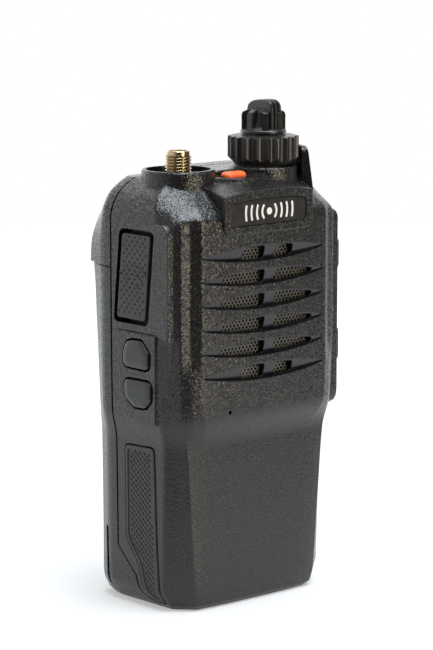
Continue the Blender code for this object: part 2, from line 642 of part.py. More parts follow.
def battery():
    """The slide-on pack: case, front lid, two cells, board and contact pads."""
    made = case_skin("battery_case", 0.0, 0.0, 90.0)
    line = seam_line(SEAM_GAP)
    area = [(line[0][0] - 0.6, -1.0)] + line[:-1] + [(line[-1][0], BATTERY_TOP_Z),
                                                     (40.0, BATTERY_TOP_Z), (40.0, -1.0)]
    combine(made, as_cutter(region("battery_region", area)), "INTERSECT")
    cut(made, box("battery_cavity", (-21.6, 0.0, 14.5), (21.6, 15.4, 77.4), None),
        box("battery_foot_cavity", (-19.5, 9.4, 4.0), (19.5, 15.2, 16.0), None))
    for side in (-1, 1):
        ends = sorted((side * 24.9, side * 40.0))
        cut(made, box(f"charger_groove_{side}", (ends[0], 11.6, -1.0), (ends[1], 13.0, 20.0),
                      None))
    lid = box("battery_lid", (-21.2, 8.3, 14.9), (21.2, 9.6, 77.0), MOULDED)
    for i in (-1, 0, 1):
        cut(lid, box(f"pad_seat_{i}", (i * 4.5 - 1.9, 5.0, 68.7), (i * 4.5 + 1.9, 12.0, 73.3),
                     None))
        box(f"battery_pad_{i + 2}", (i * 4.5 - 1.6, 8.9, 69.0), (i * 4.5 + 1.6, 9.5, 73.0), GOLD)
    for name, side in (("battery_cell_left", -1), ("battery_cell_right", 1)):
        ends = sorted((side * 0.3, side * 20.8))
        box(name, (ends[0], 10.1, 16.0), (ends[1], 15.0, 62.0), CELL, 1.0)
    box("battery_board", (-18.0, 10.6, 64.5), (18.0, 11.6, 75.5), BOARD)


def battery_latch():
    """The sliding key on the back that frees the battery."""
    made = box("battery_latch", (-6.8, 16.4, 80.5), (6.8, 20.4, 86.3), MOULDED, 0.5)
    for z in (82.0, 83.4, 84.8):
        cut(made, box(f"latch_groove_{z:.0f}", (-5.5, 20.0, z - 0.3), (5.5, 22.0, z + 0.3),
                      None))


# --- putting the radio together -------------------------------------------------------------

def on_axis(name, point, pieces):
    """Parents pieces to an empty on their joint's axis, without moving them."""
    empty = bpy.data.objects.new(name, None)
    empty.empty_display_size = 0.01
    empty.location = Vector(point) * MM
    RADIO.objects.link(empty)
    bpy.context.view_layer.update()
    for piece_name in pieces:
        piece = bpy.data.objects[piece_name]
        piece.parent = empty
        piece.matrix_parent_inverse = empty.matrix_world.inverted()


def shade():
    for made in RADIO.objects:
        if made.type == "MESH":
            made.data.shade_smooth()
            made.data.set_sharp_from_angle(angle=math.radians(35))


cut_front_case(front_case())
rear_chassis()
main_frame()
case_screws()
loudspeaker()
microphone()
electronics()
antenna_socket()
knobs()
side_controls()
alarm_button()
side_panels()
nameplate()
battery()
battery_latch()

BATTERY_PIECES = ["battery_case", "battery_lid", "battery_cell_left", "battery_cell_right",
                  "battery_board", "battery_pad_1", "battery_pad_2", "battery_pad_3"]
on_axis("volume_axis", (*KNOB_AT, VOLUME_Z[0]), ["volume_knob", "volume_shaft"])
on_axis("channel_axis", (*KNOB_AT, CHANNEL_Z[0]), ["channel_knob", "channel_shaft"])
on_axis("alarm_axis", (*ALARM_AT, ALARM_TOP_Z), ["alarm_button"])
on_axis("ptt_axis", (PTT_FACE_X, -0.8, 78.5), ["ptt_button"])
on_axis("battery_axis", (0.0, 18.0, 40.0), BATTERY_PIECES)
on_axis("latch_axis", (0.0, 20.4, 83.4), ["battery_latch"])
on_axis("cover_axis", (27.6, 0.5, 52.4), ["accessory_cover"])
shade()
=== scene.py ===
# %% [markdown]
# # A portable two-way radio
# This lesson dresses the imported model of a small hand-held radio: a moulded front case, a battery
# that slides on from behind, two knobs on one axis, an antenna socket and a row of side keys.
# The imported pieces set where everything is. Here they get their true shape and finish.

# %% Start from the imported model
import math

import bmesh
import bpy
import numpy as np
from mathutils import Matrix, Vector


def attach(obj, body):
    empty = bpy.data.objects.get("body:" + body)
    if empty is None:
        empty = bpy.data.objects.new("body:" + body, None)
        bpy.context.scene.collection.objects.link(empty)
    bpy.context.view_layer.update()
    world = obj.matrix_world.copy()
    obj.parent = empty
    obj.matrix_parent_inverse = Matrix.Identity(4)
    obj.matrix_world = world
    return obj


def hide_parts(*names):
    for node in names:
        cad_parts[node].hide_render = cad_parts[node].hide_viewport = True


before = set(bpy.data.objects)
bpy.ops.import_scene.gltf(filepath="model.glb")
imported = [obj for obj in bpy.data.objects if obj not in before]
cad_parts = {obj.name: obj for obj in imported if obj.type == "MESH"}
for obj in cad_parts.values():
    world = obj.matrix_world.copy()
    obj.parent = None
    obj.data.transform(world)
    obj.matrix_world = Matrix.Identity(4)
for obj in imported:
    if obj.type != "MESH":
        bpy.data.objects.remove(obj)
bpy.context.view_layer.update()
MM = 0.001

# %% [markdown]
# Every shape below is written in millimetres and is one closed solid. A ring stack is the most
# useful of them: outlines of equal length, one above the other, with a lid at each end. Blender's
# own cubes and cylinders could start some pieces, but few parts of a moulding have such shapes.

# %% Solids from rings
GRAINED, SMOOTH = 0, 1


def add(name, data):
    """A new object in the scene."""
    made = bpy.data.objects.new(name, data)
    bpy.context.scene.collection.objects.link(made)
    return made


def solid(name, points, faces, part=GRAINED):
    """A closed mesh from points in millimetres. Its faces carry one material number."""
    mesh = bpy.data.meshes.new(name)
    mesh.from_pydata([[c * MM for c in p] for p in points], [], faces)
    shape = bmesh.new()
    shape.from_mesh(mesh)
    bmesh.ops.recalc_face_normals(shape, faces=shape.faces)
    for face in shape.faces:
        face.material_index = part
    shape.to_mesh(mesh)
    shape.free()
    for finish in CASE_FINISHES:
        mesh.materials.append(finish)
    return add(name, mesh)


def ring_stack(name, rings, part=GRAINED):
    """A solid through outlines that all have the same number of points."""
    count = len(rings[0])
    points = [p for ring in rings for p in ring]
    faces = [list(range(count)), [len(points) - count + i for i in range(count)]]
    for level in range(len(rings) - 1):
        low = level * count
        for i in range(count):
            j = (i + 1) % count
            faces.append([low + i, low + j, low + count + j, low + count + i])
    return solid(name, points, faces, part)


def on_plane(outline, axis, height):
    """The outline's points in space, at one height along the axis."""
    if axis == "X":
        return [(height, a, b) for a, b in outline]
    if axis == "Y":
        return [(a, height, b) for a, b in outline]
    return [(a, b, height) for a, b in outline]


def prism(name, outline, low, high, axis, part=GRAINED):
    return ring_stack(name, [on_plane(outline, axis, h) for h in (low, high)], part)


# %% [markdown]
# Moulded parts have no sharp corners, so outlines are drawn as plain corners and then rounded. To
# bevel an edge, the same outline is drawn again a little smaller. Moving every side inwards by one
# distance keeps a frame even; drawing it towards its middle suits a dome.

# %% Outlines
def bend(last, corner, following, radius, most, steps):
    """A curve in place of a corner. It starts radius away, or at most a share of the side."""
    here = Vector(corner)
    before, after = Vector(last) - here, Vector(following) - here
    start = here + before.normalized() * min(radius, before.length * most)
    end = here + after.normalized() * min(radius, after.length * most)
    times = [step / steps for step in range(steps + 1)]
    return [tuple(start * (1 - t) ** 2 + here * 2 * t * (1 - t) + end * t * t) for t in times]


def rounded(corners, radius, steps=4):
    """A closed outline with every corner bent. The radius is one number, or one per corner."""
    radii = radius if isinstance(radius, (list, tuple)) else [radius] * len(corners)
    outline = []
    for i, corner in enumerate(corners):
        following = corners[(i + 1) % len(corners)]
        outline += bend(corners[i - 1], corner, following, radii[i], 0.48, steps)
    return outline


def rectangle(low_a, low_b, high_a, high_b, radius, steps=4):
    corners = [(low_a, low_b), (high_a, low_b), (high_a, high_b), (low_a, high_b)]
    return rounded(corners, radius, steps)


def shrunk(outline, inset):
    """The outline moved inwards by one distance all round, or outwards with a negative inset."""
    points = [Vector(p) for p in outline]
    area = sum(a.x * b.y - b.x * a.y for a, b in zip(points, points[1:] + points[:1]))
    turn = 1.0 if area > 0 else -1.0
    moved = []
    for i, here in enumerate(points):
        first = (here - points[i - 1]).normalized()
        along = (first + (points[(i + 1) % len(points)] - here).normalized()).normalized()
        reach = inset * turn / max(along.dot(first), 0.4)
        moved.append((here.x - along.y * reach, here.y + along.x * reach))
    return moved


def scaled(outline, inset):
    """The outline drawn in towards its middle, for domes whose rings get much smaller."""
    spans = [(min(c), max(c)) for c in zip(*outline)]
    middle = [(low + high) / 2 for low, high in spans]
    shares = [1 - 2 * inset / (high - low) for low, high in spans]
    return [tuple(m + (c - m) * share for c, m, share in zip(p, middle, shares)) for p in outline]


def circle(centre, radius, count, start=0.0, sweep=math.tau):
    """Points along a circle, or along an arc of it with both its ends."""
    last = count if abs(sweep) >= math.tau else count - 1
    return [(centre[0] + radius * math.cos(start + sweep * i / last),
             centre[1] + radius * math.sin(start + sweep * i / last)) for i in range(count)]


print("a circle of", len(circle((0.0, 0.0), 1.0, 32)), "points")


# %% [markdown]
# Four kinds of solid do most of the work: a pillow with bevelled edges, a turned shape, a rod and
# a box. The last two mostly cut holes.

# %% Solids from outlines
def pillow(name, outline, levels, axis, part=GRAINED, inwards=shrunk):
    """Rings of one outline: each level is (height along the axis, how far the outline is inset)."""
    rings = [on_plane(inwards(outline, inset), axis, height) for height, inset in levels]
    return ring_stack(name, rings, part)


def lathe(name, centre, profile, steps=64, part=GRAINED):
    """A turned solid: the profile is (radius, height) from the bottom to the top."""
    return ring_stack(name, [on_plane(circle(centre, r, steps), "Z", z) for r, z in profile], part)


def rod(name, centre, radius, low, high, axis="Z", steps=32, part=GRAINED):
    return prism(name, circle(centre, radius, steps), low, high, axis, part)


def box(name, low, high, part=GRAINED):
    corners = [(low[0], low[1]), (high[0], low[1]), (high[0], high[1]), (low[0], high[1])]
    return prism(name, corners, low[2], high[2], "Z", part)


# %% [markdown]
# Mouldings are built up the way their moulds are: blocks are joined, and pockets and holes are cut
# out. Blender's Boolean modifier does this exactly, and its result is kept as a plain mesh.

# %% Joining and cutting
def combine(made, operation, *others):
    """Joins, cuts or intersects closed solids, keeping each face's material number."""
    for other in others:
        step = made.modifiers.new("step", "BOOLEAN")
        step.operation, step.solver, step.object = operation, "MANIFOLD", other
        graph = bpy.context.evaluated_depsgraph_get()
        result = bpy.data.meshes.new_from_object(made.evaluated_get(graph))
        if not result.polygons:
            raise RuntimeError(f"{made.name} is empty after {operation} with {other.name}")
        made.modifiers.clear()
        made.data = result
        bpy.data.objects.remove(other)
    return made


def merged(name, pieces):
    """Several separate solids as one mesh, to be used as one cutter."""
    first = pieces[0]
    shape = bmesh.new()
    for piece in pieces:
        shape.from_mesh(piece.data)
        if piece is not first:
            bpy.data.objects.remove(piece)
    shape.to_mesh(first.data)
    shape.free()
    first.name = name
    return first


# %% [markdown]
# Each finished piece is shaded smooth, except at its folds, and tied to the body that it moves
# with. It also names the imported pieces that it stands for, which are then hidden.

# %% Placing a piece
def place(made, body, slot, *nodes, finish=None, angle=28.0):
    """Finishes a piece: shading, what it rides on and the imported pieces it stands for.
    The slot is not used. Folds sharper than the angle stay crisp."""
    if finish is not None:
        made.data.materials.clear()
        made.data.materials.append(finish)
        for face in made.data.polygons:
            face.material_index = 0
    made.name = made.name.replace(" ", "_")
    made.data.shade_smooth()
    made.data.set_sharp_from_angle(angle=math.radians(angle))
    made.modifiers.new("weighted normals", "WEIGHTED_NORMAL").keep_sharp = True
    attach(made, body)
    if nodes:
        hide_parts(*nodes)
    print(f"{made.name}: {len(made.data.polygons)} faces")


# %% [markdown]
# A finish is a small network of nodes. Moulded plastic gets its look from the steel of the mould:
# spark-eroded steel leaves a coarse sparkling grain, polished steel leaves a smooth face. The edge
# softening stands for the small radius that every moulded edge has.

# %% Finishes
EDGE_RADIUS = 0.22


class Nodes:
    """The nodes of a material or of the world, with helpers that add and join them."""

    def __init__(self, owner):
        owner.use_nodes = True
        self.tree = owner.node_tree

    def node(self, kind, inputs=None, **settings):
        made = self.tree.nodes.new(kind)
        for name, value in settings.items():
            setattr(made, name, value)
        for name, value in (inputs or {}).items():
            if isinstance(value, bpy.types.NodeSocket):
                self.tree.links.new(value, made.inputs[name])
            else:
                made.inputs[name].default_value = value
        return made

    def math(self, operation, a, b=0.0):
        return self.node("ShaderNodeMath", {0: a, 1: b}, operation=operation).outputs[0]

    def vector(self, operation, inputs):
        return self.node("ShaderNodeVectorMath", inputs, operation=operation).outputs[0]


class Finish(Nodes):
    """A material that starts as one shader."""

    def __init__(self, name):
        self.material = bpy.data.materials.new(name)
        super().__init__(self.material)
        self.shader = self.tree.nodes["Principled BSDF"]
        self.place = self.node("ShaderNodeTexCoord").outputs["Object"]

    def ramp(self, value, low, high, to_low=0.0, to_high=1.0):
        return self.node("ShaderNodeMapRange", {"Value": value, "From Min": low, "From Max": high,
                                                "To Min": to_low, "To Max": to_high}).outputs[0]

    def noise(self, size_mm, detail=2.0, roughness=0.5):
        """Noise whose blotches are about size_mm across."""
        made = self.node("ShaderNodeTexNoise", {"Vector": self.place, "Scale": 1.0 / (size_mm * MM),
                                                "Detail": detail, "Roughness": roughness})
        return made.outputs["Fac"]

    def height_mm(self):
        """How high a point is on the radio, in millimetres."""
        split = self.node("ShaderNodeSeparateXYZ", {"Vector": self.place})
        return self.math("MULTIPLY", split.outputs["Z"], 1.0 / MM)

    def bump(self, height, depth_mm, edge=EDGE_RADIUS):
        """Small relief on top of edges softened to a radius."""
        softened = self.node("ShaderNodeBevel", {"Radius": edge * MM}, samples=4).outputs["Normal"]
        made = self.node("ShaderNodeBump", {"Height": height, "Distance": depth_mm * MM,
                                            "Strength": 1.0, "Normal": softened})
        self.set("Normal", made.outputs["Normal"])

    def sparkle(self, size_mm, amount):
        """Tips each tiny facet of the grain its own way, as the pits of spark-eroded steel do."""
        facets = self.node("ShaderNodeTexVoronoi", {"Vector": self.place,
                                                    "Scale": 1.0 / (size_mm * MM)})
        centred = self.vector("ADD", {0: facets.outputs["Color"], 1: (-0.5, -0.5, -0.5)})
        tipped = self.vector("SCALE", {0: centred, "Scale": amount})
        before = self.shader.inputs["Normal"].links[0].from_socket
        summed = self.vector("ADD", {0: tipped, 1: before})
        self.set("Normal", self.vector("NORMALIZE", {0: summed}))

    def mixed(self, factor, first, second):
        """A base colour that wanders between two colours."""
        made = self.node("ShaderNodeMix", data_type="RGBA")
        self.tree.links.new(factor, made.inputs["Factor"])
        for socket, value in ((6, first), (7, second)):
            made.inputs[socket].default_value = (*value, 1.0)
        self.set("Base Color", made.outputs[2])

    def set(self, name, value):
        if isinstance(value, bpy.types.NodeSocket):
            self.tree.links.new(value, self.shader.inputs[name])
        else:
            self.shader.inputs[name].default_value = value


# %% [markdown]
# The case is one moulding with two grains. Above the waist the mould was eroded coarsely, and each
# tiny facet throws its own glint; the waist is nearly plain, and below it the grain is fine. Relief
# as small as this would need millions of faces, so the shader tips the surface instead.

# %% Case grain
WAIST_TOP, WAIST_FOOT = (43.5, 46.5), (39.5, 37.0)
COARSE_TIP, FINE_TIP, LEAST_TIP = 0.31, 0.1, 0.08
FACET_MM = 0.33


def case_grain():
    """Black moulding: coarse spark grain above the waist, fine grain below it."""
    f = Finish("case grain")
    z = f.height_mm()
    upper = f.math("MULTIPLY", f.ramp(z, *WAIST_TOP), COARSE_TIP)
    lower = f.math("MULTIPLY", f.ramp(z, *WAIST_FOOT), FINE_TIP)
    f.bump(f.noise(0.5, 2.0, 0.6), 0.13)
    f.sparkle(FACET_MM, f.math("MAXIMUM", f.math("ADD", upper, lower), LEAST_TIP))
    f.mixed(f.noise(0.5, 2.0), (0.006, 0.006, 0.006), (0.010, 0.0095, 0.009))
    f.set("Roughness", f.ramp(f.noise(0.8, 2.0), 0.3, 0.7, 0.24, 0.3))
    return f.material


# %% [markdown]
# Three families cover the rest: plastic from a polished mould, rubber, and turned or rolled metal.
# None of them is quite even. Handling leaves patches a little duller, and colour drifts slightly.

# %% Plastic, rubber and metal
def darker(colour, share):
    return tuple(c * share for c in colour)


def polished_plastic(name, colour, roughness, depth):
    f = Finish(name)
    f.bump(f.noise(0.5, 2.0), depth)
    f.mixed(f.noise(6.0, 3.0), darker(colour, 0.75), colour)
    f.set("Roughness", f.ramp(f.noise(3.0, 3.0), 0.3, 0.7, roughness - 0.05, roughness + 0.07))
    return f.material


def rubber(name, colour, roughness, depth):
    f = Finish(name)
    f.bump(f.noise(0.16, 3.0, 0.6), depth)
    f.mixed(f.noise(2.0, 4.0), darker(colour, 0.8), colour)
    f.set("Roughness", f.ramp(f.noise(1.5, 3.0), 0.3, 0.7, roughness - 0.06, roughness + 0.06))
    return f.material


def metal(name, colour, roughness, streak=0.25, depth=0.006):
    """Turned or rolled metal: fine lines and a little tarnish."""
    f = Finish(name)
    f.bump(f.noise(0.12, 3.0, 0.7), depth, edge=0.08)
    f.mixed(f.noise(1.6, 4.0), darker(colour, 1 - streak), colour)
    f.set("Metallic", 1.0)
    f.set("Roughness", f.ramp(f.noise(0.6, 4.0), 0.3, 0.7, roughness - 0.06, roughness + 0.08))
    return f.material


# %% [markdown]
# The radio is nearly all black, and its parts tell themselves apart by gloss: dull soft rubber on
# the talk bar and grips, glossier keys, satin knobs. Only the alarm button and the gold socket
# carry colour.

# %% Finishes of this radio
CASE_FINISHES = [case_grain(), polished_plastic("case smooth", (0.007, 0.008, 0.010), 0.24, 0.01)]
KNOB_PLASTIC = polished_plastic("knob plastic", (0.013, 0.013, 0.013), 0.34, 0.02)
SOFT_RUBBER = rubber("soft rubber", (0.022, 0.022, 0.021), 0.5, 0.03)
KEY_RUBBER = rubber("key rubber", (0.009, 0.010, 0.012), 0.26, 0.008)
ORANGE_RUBBER = rubber("orange rubber", (1.0, 0.155, 0.035), 0.42, 0.012)
FACE_FILM = polished_plastic("nameplate film", (0.018, 0.017, 0.016), 0.34, 0.02)
WHITE_PRINT = polished_plastic("white print", (0.9, 0.9, 0.88), 0.5, 0.004)
GOLD = metal("gold plate", (0.50, 0.40, 0.235), 0.22)
NICKEL = metal("punched sheet", (0.17, 0.172, 0.162), 0.42)
ALLOY = metal("cast alloy", (0.62, 0.63, 0.64), 0.42, 0.2, 0.03)
STEEL = metal("zinc steel", (0.66, 0.65, 0.62), 0.32)
PTFE = polished_plastic("white insulator", (0.86, 0.85, 0.80), 0.45, 0.006)
BOARD = polished_plastic("circuit board", (0.015, 0.14, 0.05), 0.4, 0.03)
CELL_WRAP = polished_plastic("cell wrap", (0.05, 0.13, 0.38), 0.32, 0.01)
PAPER = rubber("speaker paper", (0.035, 0.034, 0.036), 0.85, 0.05)
print(len(bpy.data.materials), "finishes")

# %% [markdown]
# The case is lofted through sections. From the middle of the front outwards a section runs along
# a slight crown, steps back twice in narrow facets, turns the corner and follows the flat side to
# the chamfer at the back. A moulder gives a case such facets so that a thin wall stays stiff.

# %% Case sections
# Height, front middle y, then x and y of the five front edges, then back y and back half width.
SECTIONS = np.array([
    (-2.2, -12.6, 13.5, -12.3, 15.7, -12.1, 17.6, -11.9, 19.6, -9.8, 21.6, -7.6, 16.2, 20.2),
    (-0.9, -14.0, 14.3, -13.7, 16.9, -13.5, 18.8, -13.2, 20.9, -10.8, 22.9, -8.2, 17.2, 21.2),
    (3.2, -14.5, 14.8, -14.2, 17.3, -14.0, 19.5, -13.7, 22.4, -11.2, 25.3, -8.7, 17.8, 22.3),
    (20.0, -14.5, 15.8, -14.3, 18.5, -14.1, 20.8, -13.8, 23.1, -11.4, 25.5, -9.0, 17.8, 22.4),
    (38.0, -14.6, 17.0, -14.35, 20.0, -14.15, 22.3, -13.9, 24.0, -11.65, 25.7, -9.4, 17.9, 22.5),
    (46.0, -17.6, 19.5, -17.1, 22.2, -16.0, 24.2, -14.5, 25.6, -11.9, 27.0, -9.3, 18.0, 22.8),
    (54.0, -17.7, 20.0, -17.05, 22.4, -15.9, 24.6, -14.5, 25.85, -12.0, 27.1, -9.0, 18.2, 23.0),
    (61.0, -17.7, 20.1, -17.0, 22.4, -15.3, 24.8, -14.6, 25.95, -12.2, 27.15, -8.9, 18.4, 23.2),
    (66.5, -17.7, 20.1, -17.0, 22.4, -15.2, 24.8, -14.6, 26.0, -13.2, 27.2, -8.8, 18.5, 23.4),
    (79.8, -17.7, 20.1, -17.0, 22.4, -15.2, 24.8, -14.6, 26.0, -13.2, 27.2, -8.8, 18.8, 24.0),
    (80.2, -17.7, 20.1, -17.0, 22.4, -15.2, 24.8, -14.6, 26.0, -13.2, 27.2, -8.8, 19.8, 24.3),
    (84.6, -17.7, 20.1, -17.0, 22.4, -15.2, 24.8, -14.6, 26.0, -13.2, 27.2, -8.8, 19.6, 24.2),
    (91.0, -17.7, 20.1, -17.0, 22.4, -15.2, 24.8, -14.6, 26.0, -13.2, 27.2, -8.7, 17.8, 23.1),
    (92.6, -17.4, 20.0, -16.7, 22.3, -15.2, 24.4, -14.1, 25.6, -12.4, 27.1, -8.4, 17.2, 22.4),
    (94.0, -16.3, 19.6, -15.6, 21.6, -14.5, 23.6, -12.9, 25.0, -11.2, 26.8, -8.0, 16.8, 21.8),
    (96.0, -13.7, 18.6, -13.0, 20.3, -12.1, 22.2, -10.8, 23.8, -9.3, 25.9, -7.0, 16.0, 20.9),
    (97.8, -10.9, 17.0, -10.4, 18.8, -9.8, 20.6, -8.9, 22.3, -7.8, 24.6, -5.9, 15.0, 19.9),
    (99.0, -9.3, 15.3, -8.9, 17.2, -8.4, 19.0, -7.7, 20.8, -6.8, 23.1, -5.2, 14.1, 18.9),
    (100.2, -8.4, 13.5, -8.1, 15.5, -7.7, 17.3, -7.0, 19.0, -6.2, 21.2, -4.8, 13.3, 17.7),
    (101.0, -8.0, 12.0, -7.7, 14.0, -7.3, 15.8, -6.6, 17.4, -5.8, 19.6, -4.5, 12.6, 16.5),
])
BASE_Z, DECK_Z = SECTIONS[0, 0], SECTIONS[-1, 0]
print("sections from", BASE_Z, "to", DECK_Z, "mm")


# %% [markdown]
# Between two sections every size follows a smooth curve. An ordinary spline would bulge where a
# flat wall meets a rounded shoulder, so the slopes are limited to never overshoot.

# %% Curves through the sections
def slopes(rows):
    """Slopes for a smooth curve through the rows that never overshoots them."""
    gap = np.diff(rows[:, 0])[:, None]
    rise = np.diff(rows[:, 1:], axis=0) / gap
    inner = np.zeros((len(rows) - 2, rise.shape[1]))
    same_way = rise[:-1] * rise[1:] > 0
    with np.errstate(divide="ignore", invalid="ignore"):
        mean = 2 * rise[:-1] * rise[1:] / (rise[:-1] + rise[1:])
    inner[same_way] = mean[same_way]
    return np.vstack([rise[:1], inner, rise[-1:]])


SECTION_SLOPES = slopes(SECTIONS)


def section_at(z):
    """The thirteen section sizes at a height."""
    i = int(np.clip(np.searchsorted(SECTIONS[:, 0], z) - 1, 0, len(SECTIONS) - 2))
    gap = SECTIONS[i + 1, 0] - SECTIONS[i, 0]
    t = np.clip((z - SECTIONS[i, 0]) / gap, 0.0, 1.0)
    low, high = SECTIONS[i, 1:], SECTIONS[i + 1, 1:]
    leaving, arriving = SECTION_SLOPES[i], SECTION_SLOPES[i + 1]
    return (low * (1 + 2 * t) * (1 - t) ** 2 + high * t * t * (3 - 2 * t)
            + gap * (leaving * t * (1 - t) ** 2 - arriving * t * t * (1 - t)))


# %% [markdown]
# A ring takes the sizes at one height, adds the slight crown of the front, bends each facet edge
# with its own small radius and mirrors the whole. Rings one above the other are the case.

# %% Case outline at a height
HALF_WIDTH = 9  # its place among the section sizes
CROWN_POINTS, CROWN_POWER = 9, 2.4
SIDE_BACK_Y = 11.5
EDGE_RADII = [0.45, 0.4, 0.4, 0.5, 0.7, 1.6, 1.6]


def case_ring(z, inset=0.0):
    """One outline of the case at a height, running right round it."""
    front_y, *edges, back_y, back_x = section_at(z)
    edges = [(edges[k], edges[k + 1]) for k in range(0, 10, 2)]
    end_x, end_y = edges[0]
    curve = [(end_x * k / CROWN_POINTS,
              front_y + (end_y - front_y) * (k / CROWN_POINTS) ** CROWN_POWER)
             for k in range(CROWN_POINTS)]
    half = edges + [(edges[-1][0], SIDE_BACK_Y), (back_x, back_y), (0.0, back_y + 0.25)]
    corners = [curve[-1]] + half
    for k, radius in enumerate(EDGE_RADII):
        curve += bend(corners[k], corners[k + 1], corners[k + 2], radius, 0.45, 4)
    curve.append(half[-1])
    full = curve + [(-x, y) for x, y in reversed(curve[1:-1])]
    return on_plane(shrunk(full, inset) if inset else full, "Z", z)


def case_solid(name, low, high, inset=0.0, part=GRAINED):
    """The case between two heights, with a ring at every millimetre and every section."""
    sections = [z for z in SECTIONS[:, 0] if low < z < high]
    steps = np.arange(math.ceil(low), high, 1.0)
    heights = sorted({round(float(z), 2) for z in [low, high, *steps, *sections]})
    return ring_stack(name, [case_ring(z, inset) for z in heights], part)


print("ring of", len(case_ring(60.0)), "points")

# %% [markdown]
# The seam between the front case and the pieces behind it runs straight down the side and then
# cuts forward under the foot, so that the battery carries the lower back edge.

# %% Seam
SEAM_Y = 8.0
SEAM_GAP = 0.26
FOOT_POINTS = [(-9.0, -6.5), (-4.6, -2.6), (0.0, 0.8), (1.3, 5.0), (SEAM_Y, 11.6)]
BATTERY_TOP_Z, CAP_FOOT_Z = 79.8, 80.2
FAR, ABOVE_Z = 45.0, 130.0
ANTENNA_AT = (-13.2, -0.5)
KNOB_AT = (13.5, -1.5)
ALARM_AT = (-0.7, -6.3)


def seam(shift):
    """The seam line seen from the side, moved backwards by a shift."""
    return [(y + shift, z) for y, z in FOOT_POINTS] + [(SEAM_Y + shift, ABOVE_Z)]


def region(name, outline):
    """A block right across the radio, which keeps only what lies inside it."""
    return prism(name, outline, -FAR, FAR, "X", SMOOTH)


print("the seam has", len(seam(0.0)), "points")


# %% [markdown]
# The front case starts as the whole loft. The block for the nameplate, the deck, the collar round
# the antenna socket, the pedestal under the knobs and the wall that guards them are joined to it,
# and then it is hollowed from behind. One tool makes all of this in a single shot of plastic.

# %% Front case body
front = case_solid("front case", BASE_Z, DECK_Z)

plateau_outline = rectangle(-3.6, -3.2, 17.6, 9.5, 0.8)
DECK_LEVELS = [(96.0, 0.0), (101.9, 0.0), (102.25, 0.3)]
plateau = pillow("plateau", plateau_outline, DECK_LEVELS, "Z")
block_front = rounded([(-14.2, 88.5), (14.7, 88.5), (14.7, 97.9), (7.0, 98.9), (-7.0, 98.9),
                       (-14.2, 97.9)], [3.0, 3.0, 0.8, 4.0, 4.0, 0.8], 6)
block_back = rounded([(-12.6, 89.5), (13.2, 89.5), (13.2, 99.4), (6.5, 100.2), (-6.5, 100.2),
                      (-12.6, 99.4)], [3.0, 3.0, 0.8, 4.0, 4.0, 0.8], 6)
block = ring_stack("nameplate block", [on_plane(shrunk(block_front, 0.35), "Y", -18.15),
                                       on_plane(shrunk(block_front, 0.1), "Y", -18.0),
                                       on_plane(block_front, "Y", -17.75),
                                       on_plane(block_back, "Y", -8.6)])
alarm_floor = box("alarm floor", (-4.7, -14.0, 100.9), (5.3, -3.2, 125.0), SMOOTH)
boss = lathe("alarm boss", ALARM_AT, [(6.6, 94.0), (5.0, 100.6), (4.7, 100.95)])
collar = lathe("collar", ANTENNA_AT, [(9.2, 92.0), (9.0, 98.5), (8.85, 102.8), (8.6, 103.2)], 96)
pedestal = lathe("pedestal", KNOB_AT, [(8.6, 94.0), (8.3, 102.0), (8.0, 102.4)], 96)
GUARD_INNER = 9.45
guard_rings = []
# Height, outer radius, and how many degrees each end of the wall draws in.
for z, outer, turn in ((94.0, 12.6, 0.0), (97.0, 12.2, 0.0), (105.2, 11.15, 0.0),
                       (106.1, 10.95, 2.0), (106.6, 10.75, 5.0), (106.9, 10.4, 10.0)):
    start, sweep = math.radians(-46.0 + turn), math.radians(98.0 - 2 * turn)
    wall = circle(KNOB_AT, outer, 25, start, sweep)
    wall += circle(KNOB_AT, GUARD_INNER, 25, start + sweep, -sweep)
    guard_rings.append(on_plane(wall, "Z", z))
guard = ring_stack("knob guard", guard_rings)
combine(front, "UNION", block)
combine(front, "DIFFERENCE", alarm_floor)
combine(front, "UNION", plateau, boss, collar, pedestal, guard)
print("front case:", len(front.data.polygons), "faces before it is hollowed")

# %% [markdown]
# Low pads stand out at the sides: on the left one under the talk bar and one under the two keys,
# on the right one round the accessory socket. They stiffen the wall where a thumb presses. The
# right one has a pocket for its cover, longer at the foot, where the edge of the cover swings in.

# %% Side pads
talk_pad = rounded([(-13.2, 63.8), (-8.4, 65.4), (7.0, 65.4), (6.3, 78.0), (4.9, 89.6),
                    (3.3, 91.6), (-11.4, 92.0), (-13.2, 90.0)],
                   [0.5, 0.5, 0.5, 3.0, 1.2, 1.5, 1.4, 1.2])
key_pad = rounded([(-8.7, 43.8), (1.9, 44.1), (4.4, 46.4), (5.0, 55.0), (5.7, 65.2),
                   (-8.7, 65.2)], [0.5, 1.6, 2.0, 4.0, 0.4, 0.4])
socket_pad = rounded([(-12.9, 42.5), (5.0, 42.5), (6.3, 78.0), (4.9, 89.6), (3.3, 91.4),
                      (-11.6, 91.4), (-12.9, 90.0)], [4.0, 1.5, 3.0, 1.2, 1.5, 1.2, 1.0])
for name, outline, levels in (
        ("talk pad", talk_pad, [(-20.0, 0.0), (-27.0, 0.0), (-27.38, 0.12), (-27.5, 0.35)]),
        ("key pad", key_pad, [(-20.0, -0.2), (-27.2, -0.2), (-27.55, 0.0), (-27.7, 0.2)]),
        ("socket pad", socket_pad, [(20.0, 0.0), (27.8, 0.0), (28.15, 0.12), (28.3, 0.4)])):
    combine(front, "UNION", pillow(name, outline, levels, "X"))
cover_outline = rectangle(-11.0, 52.4, 5.6, 84.4, 1.6)
cover_pocket = rectangle(-11.2, 48.7, 5.8, 84.6, 1.6)
combine(front, "DIFFERENCE", prism("cover pocket", cover_pocket, 26.9, 40.0, "X", SMOOTH))
print("front case:", len(front.data.polygons), "faces with its pads")

# %% [markdown]
# A moulding keeps about the same wall all over, or it sinks while it cools. The case is cut at the
# seam and hollowed with a smaller copy of itself, and four screw bosses rise from the inside.

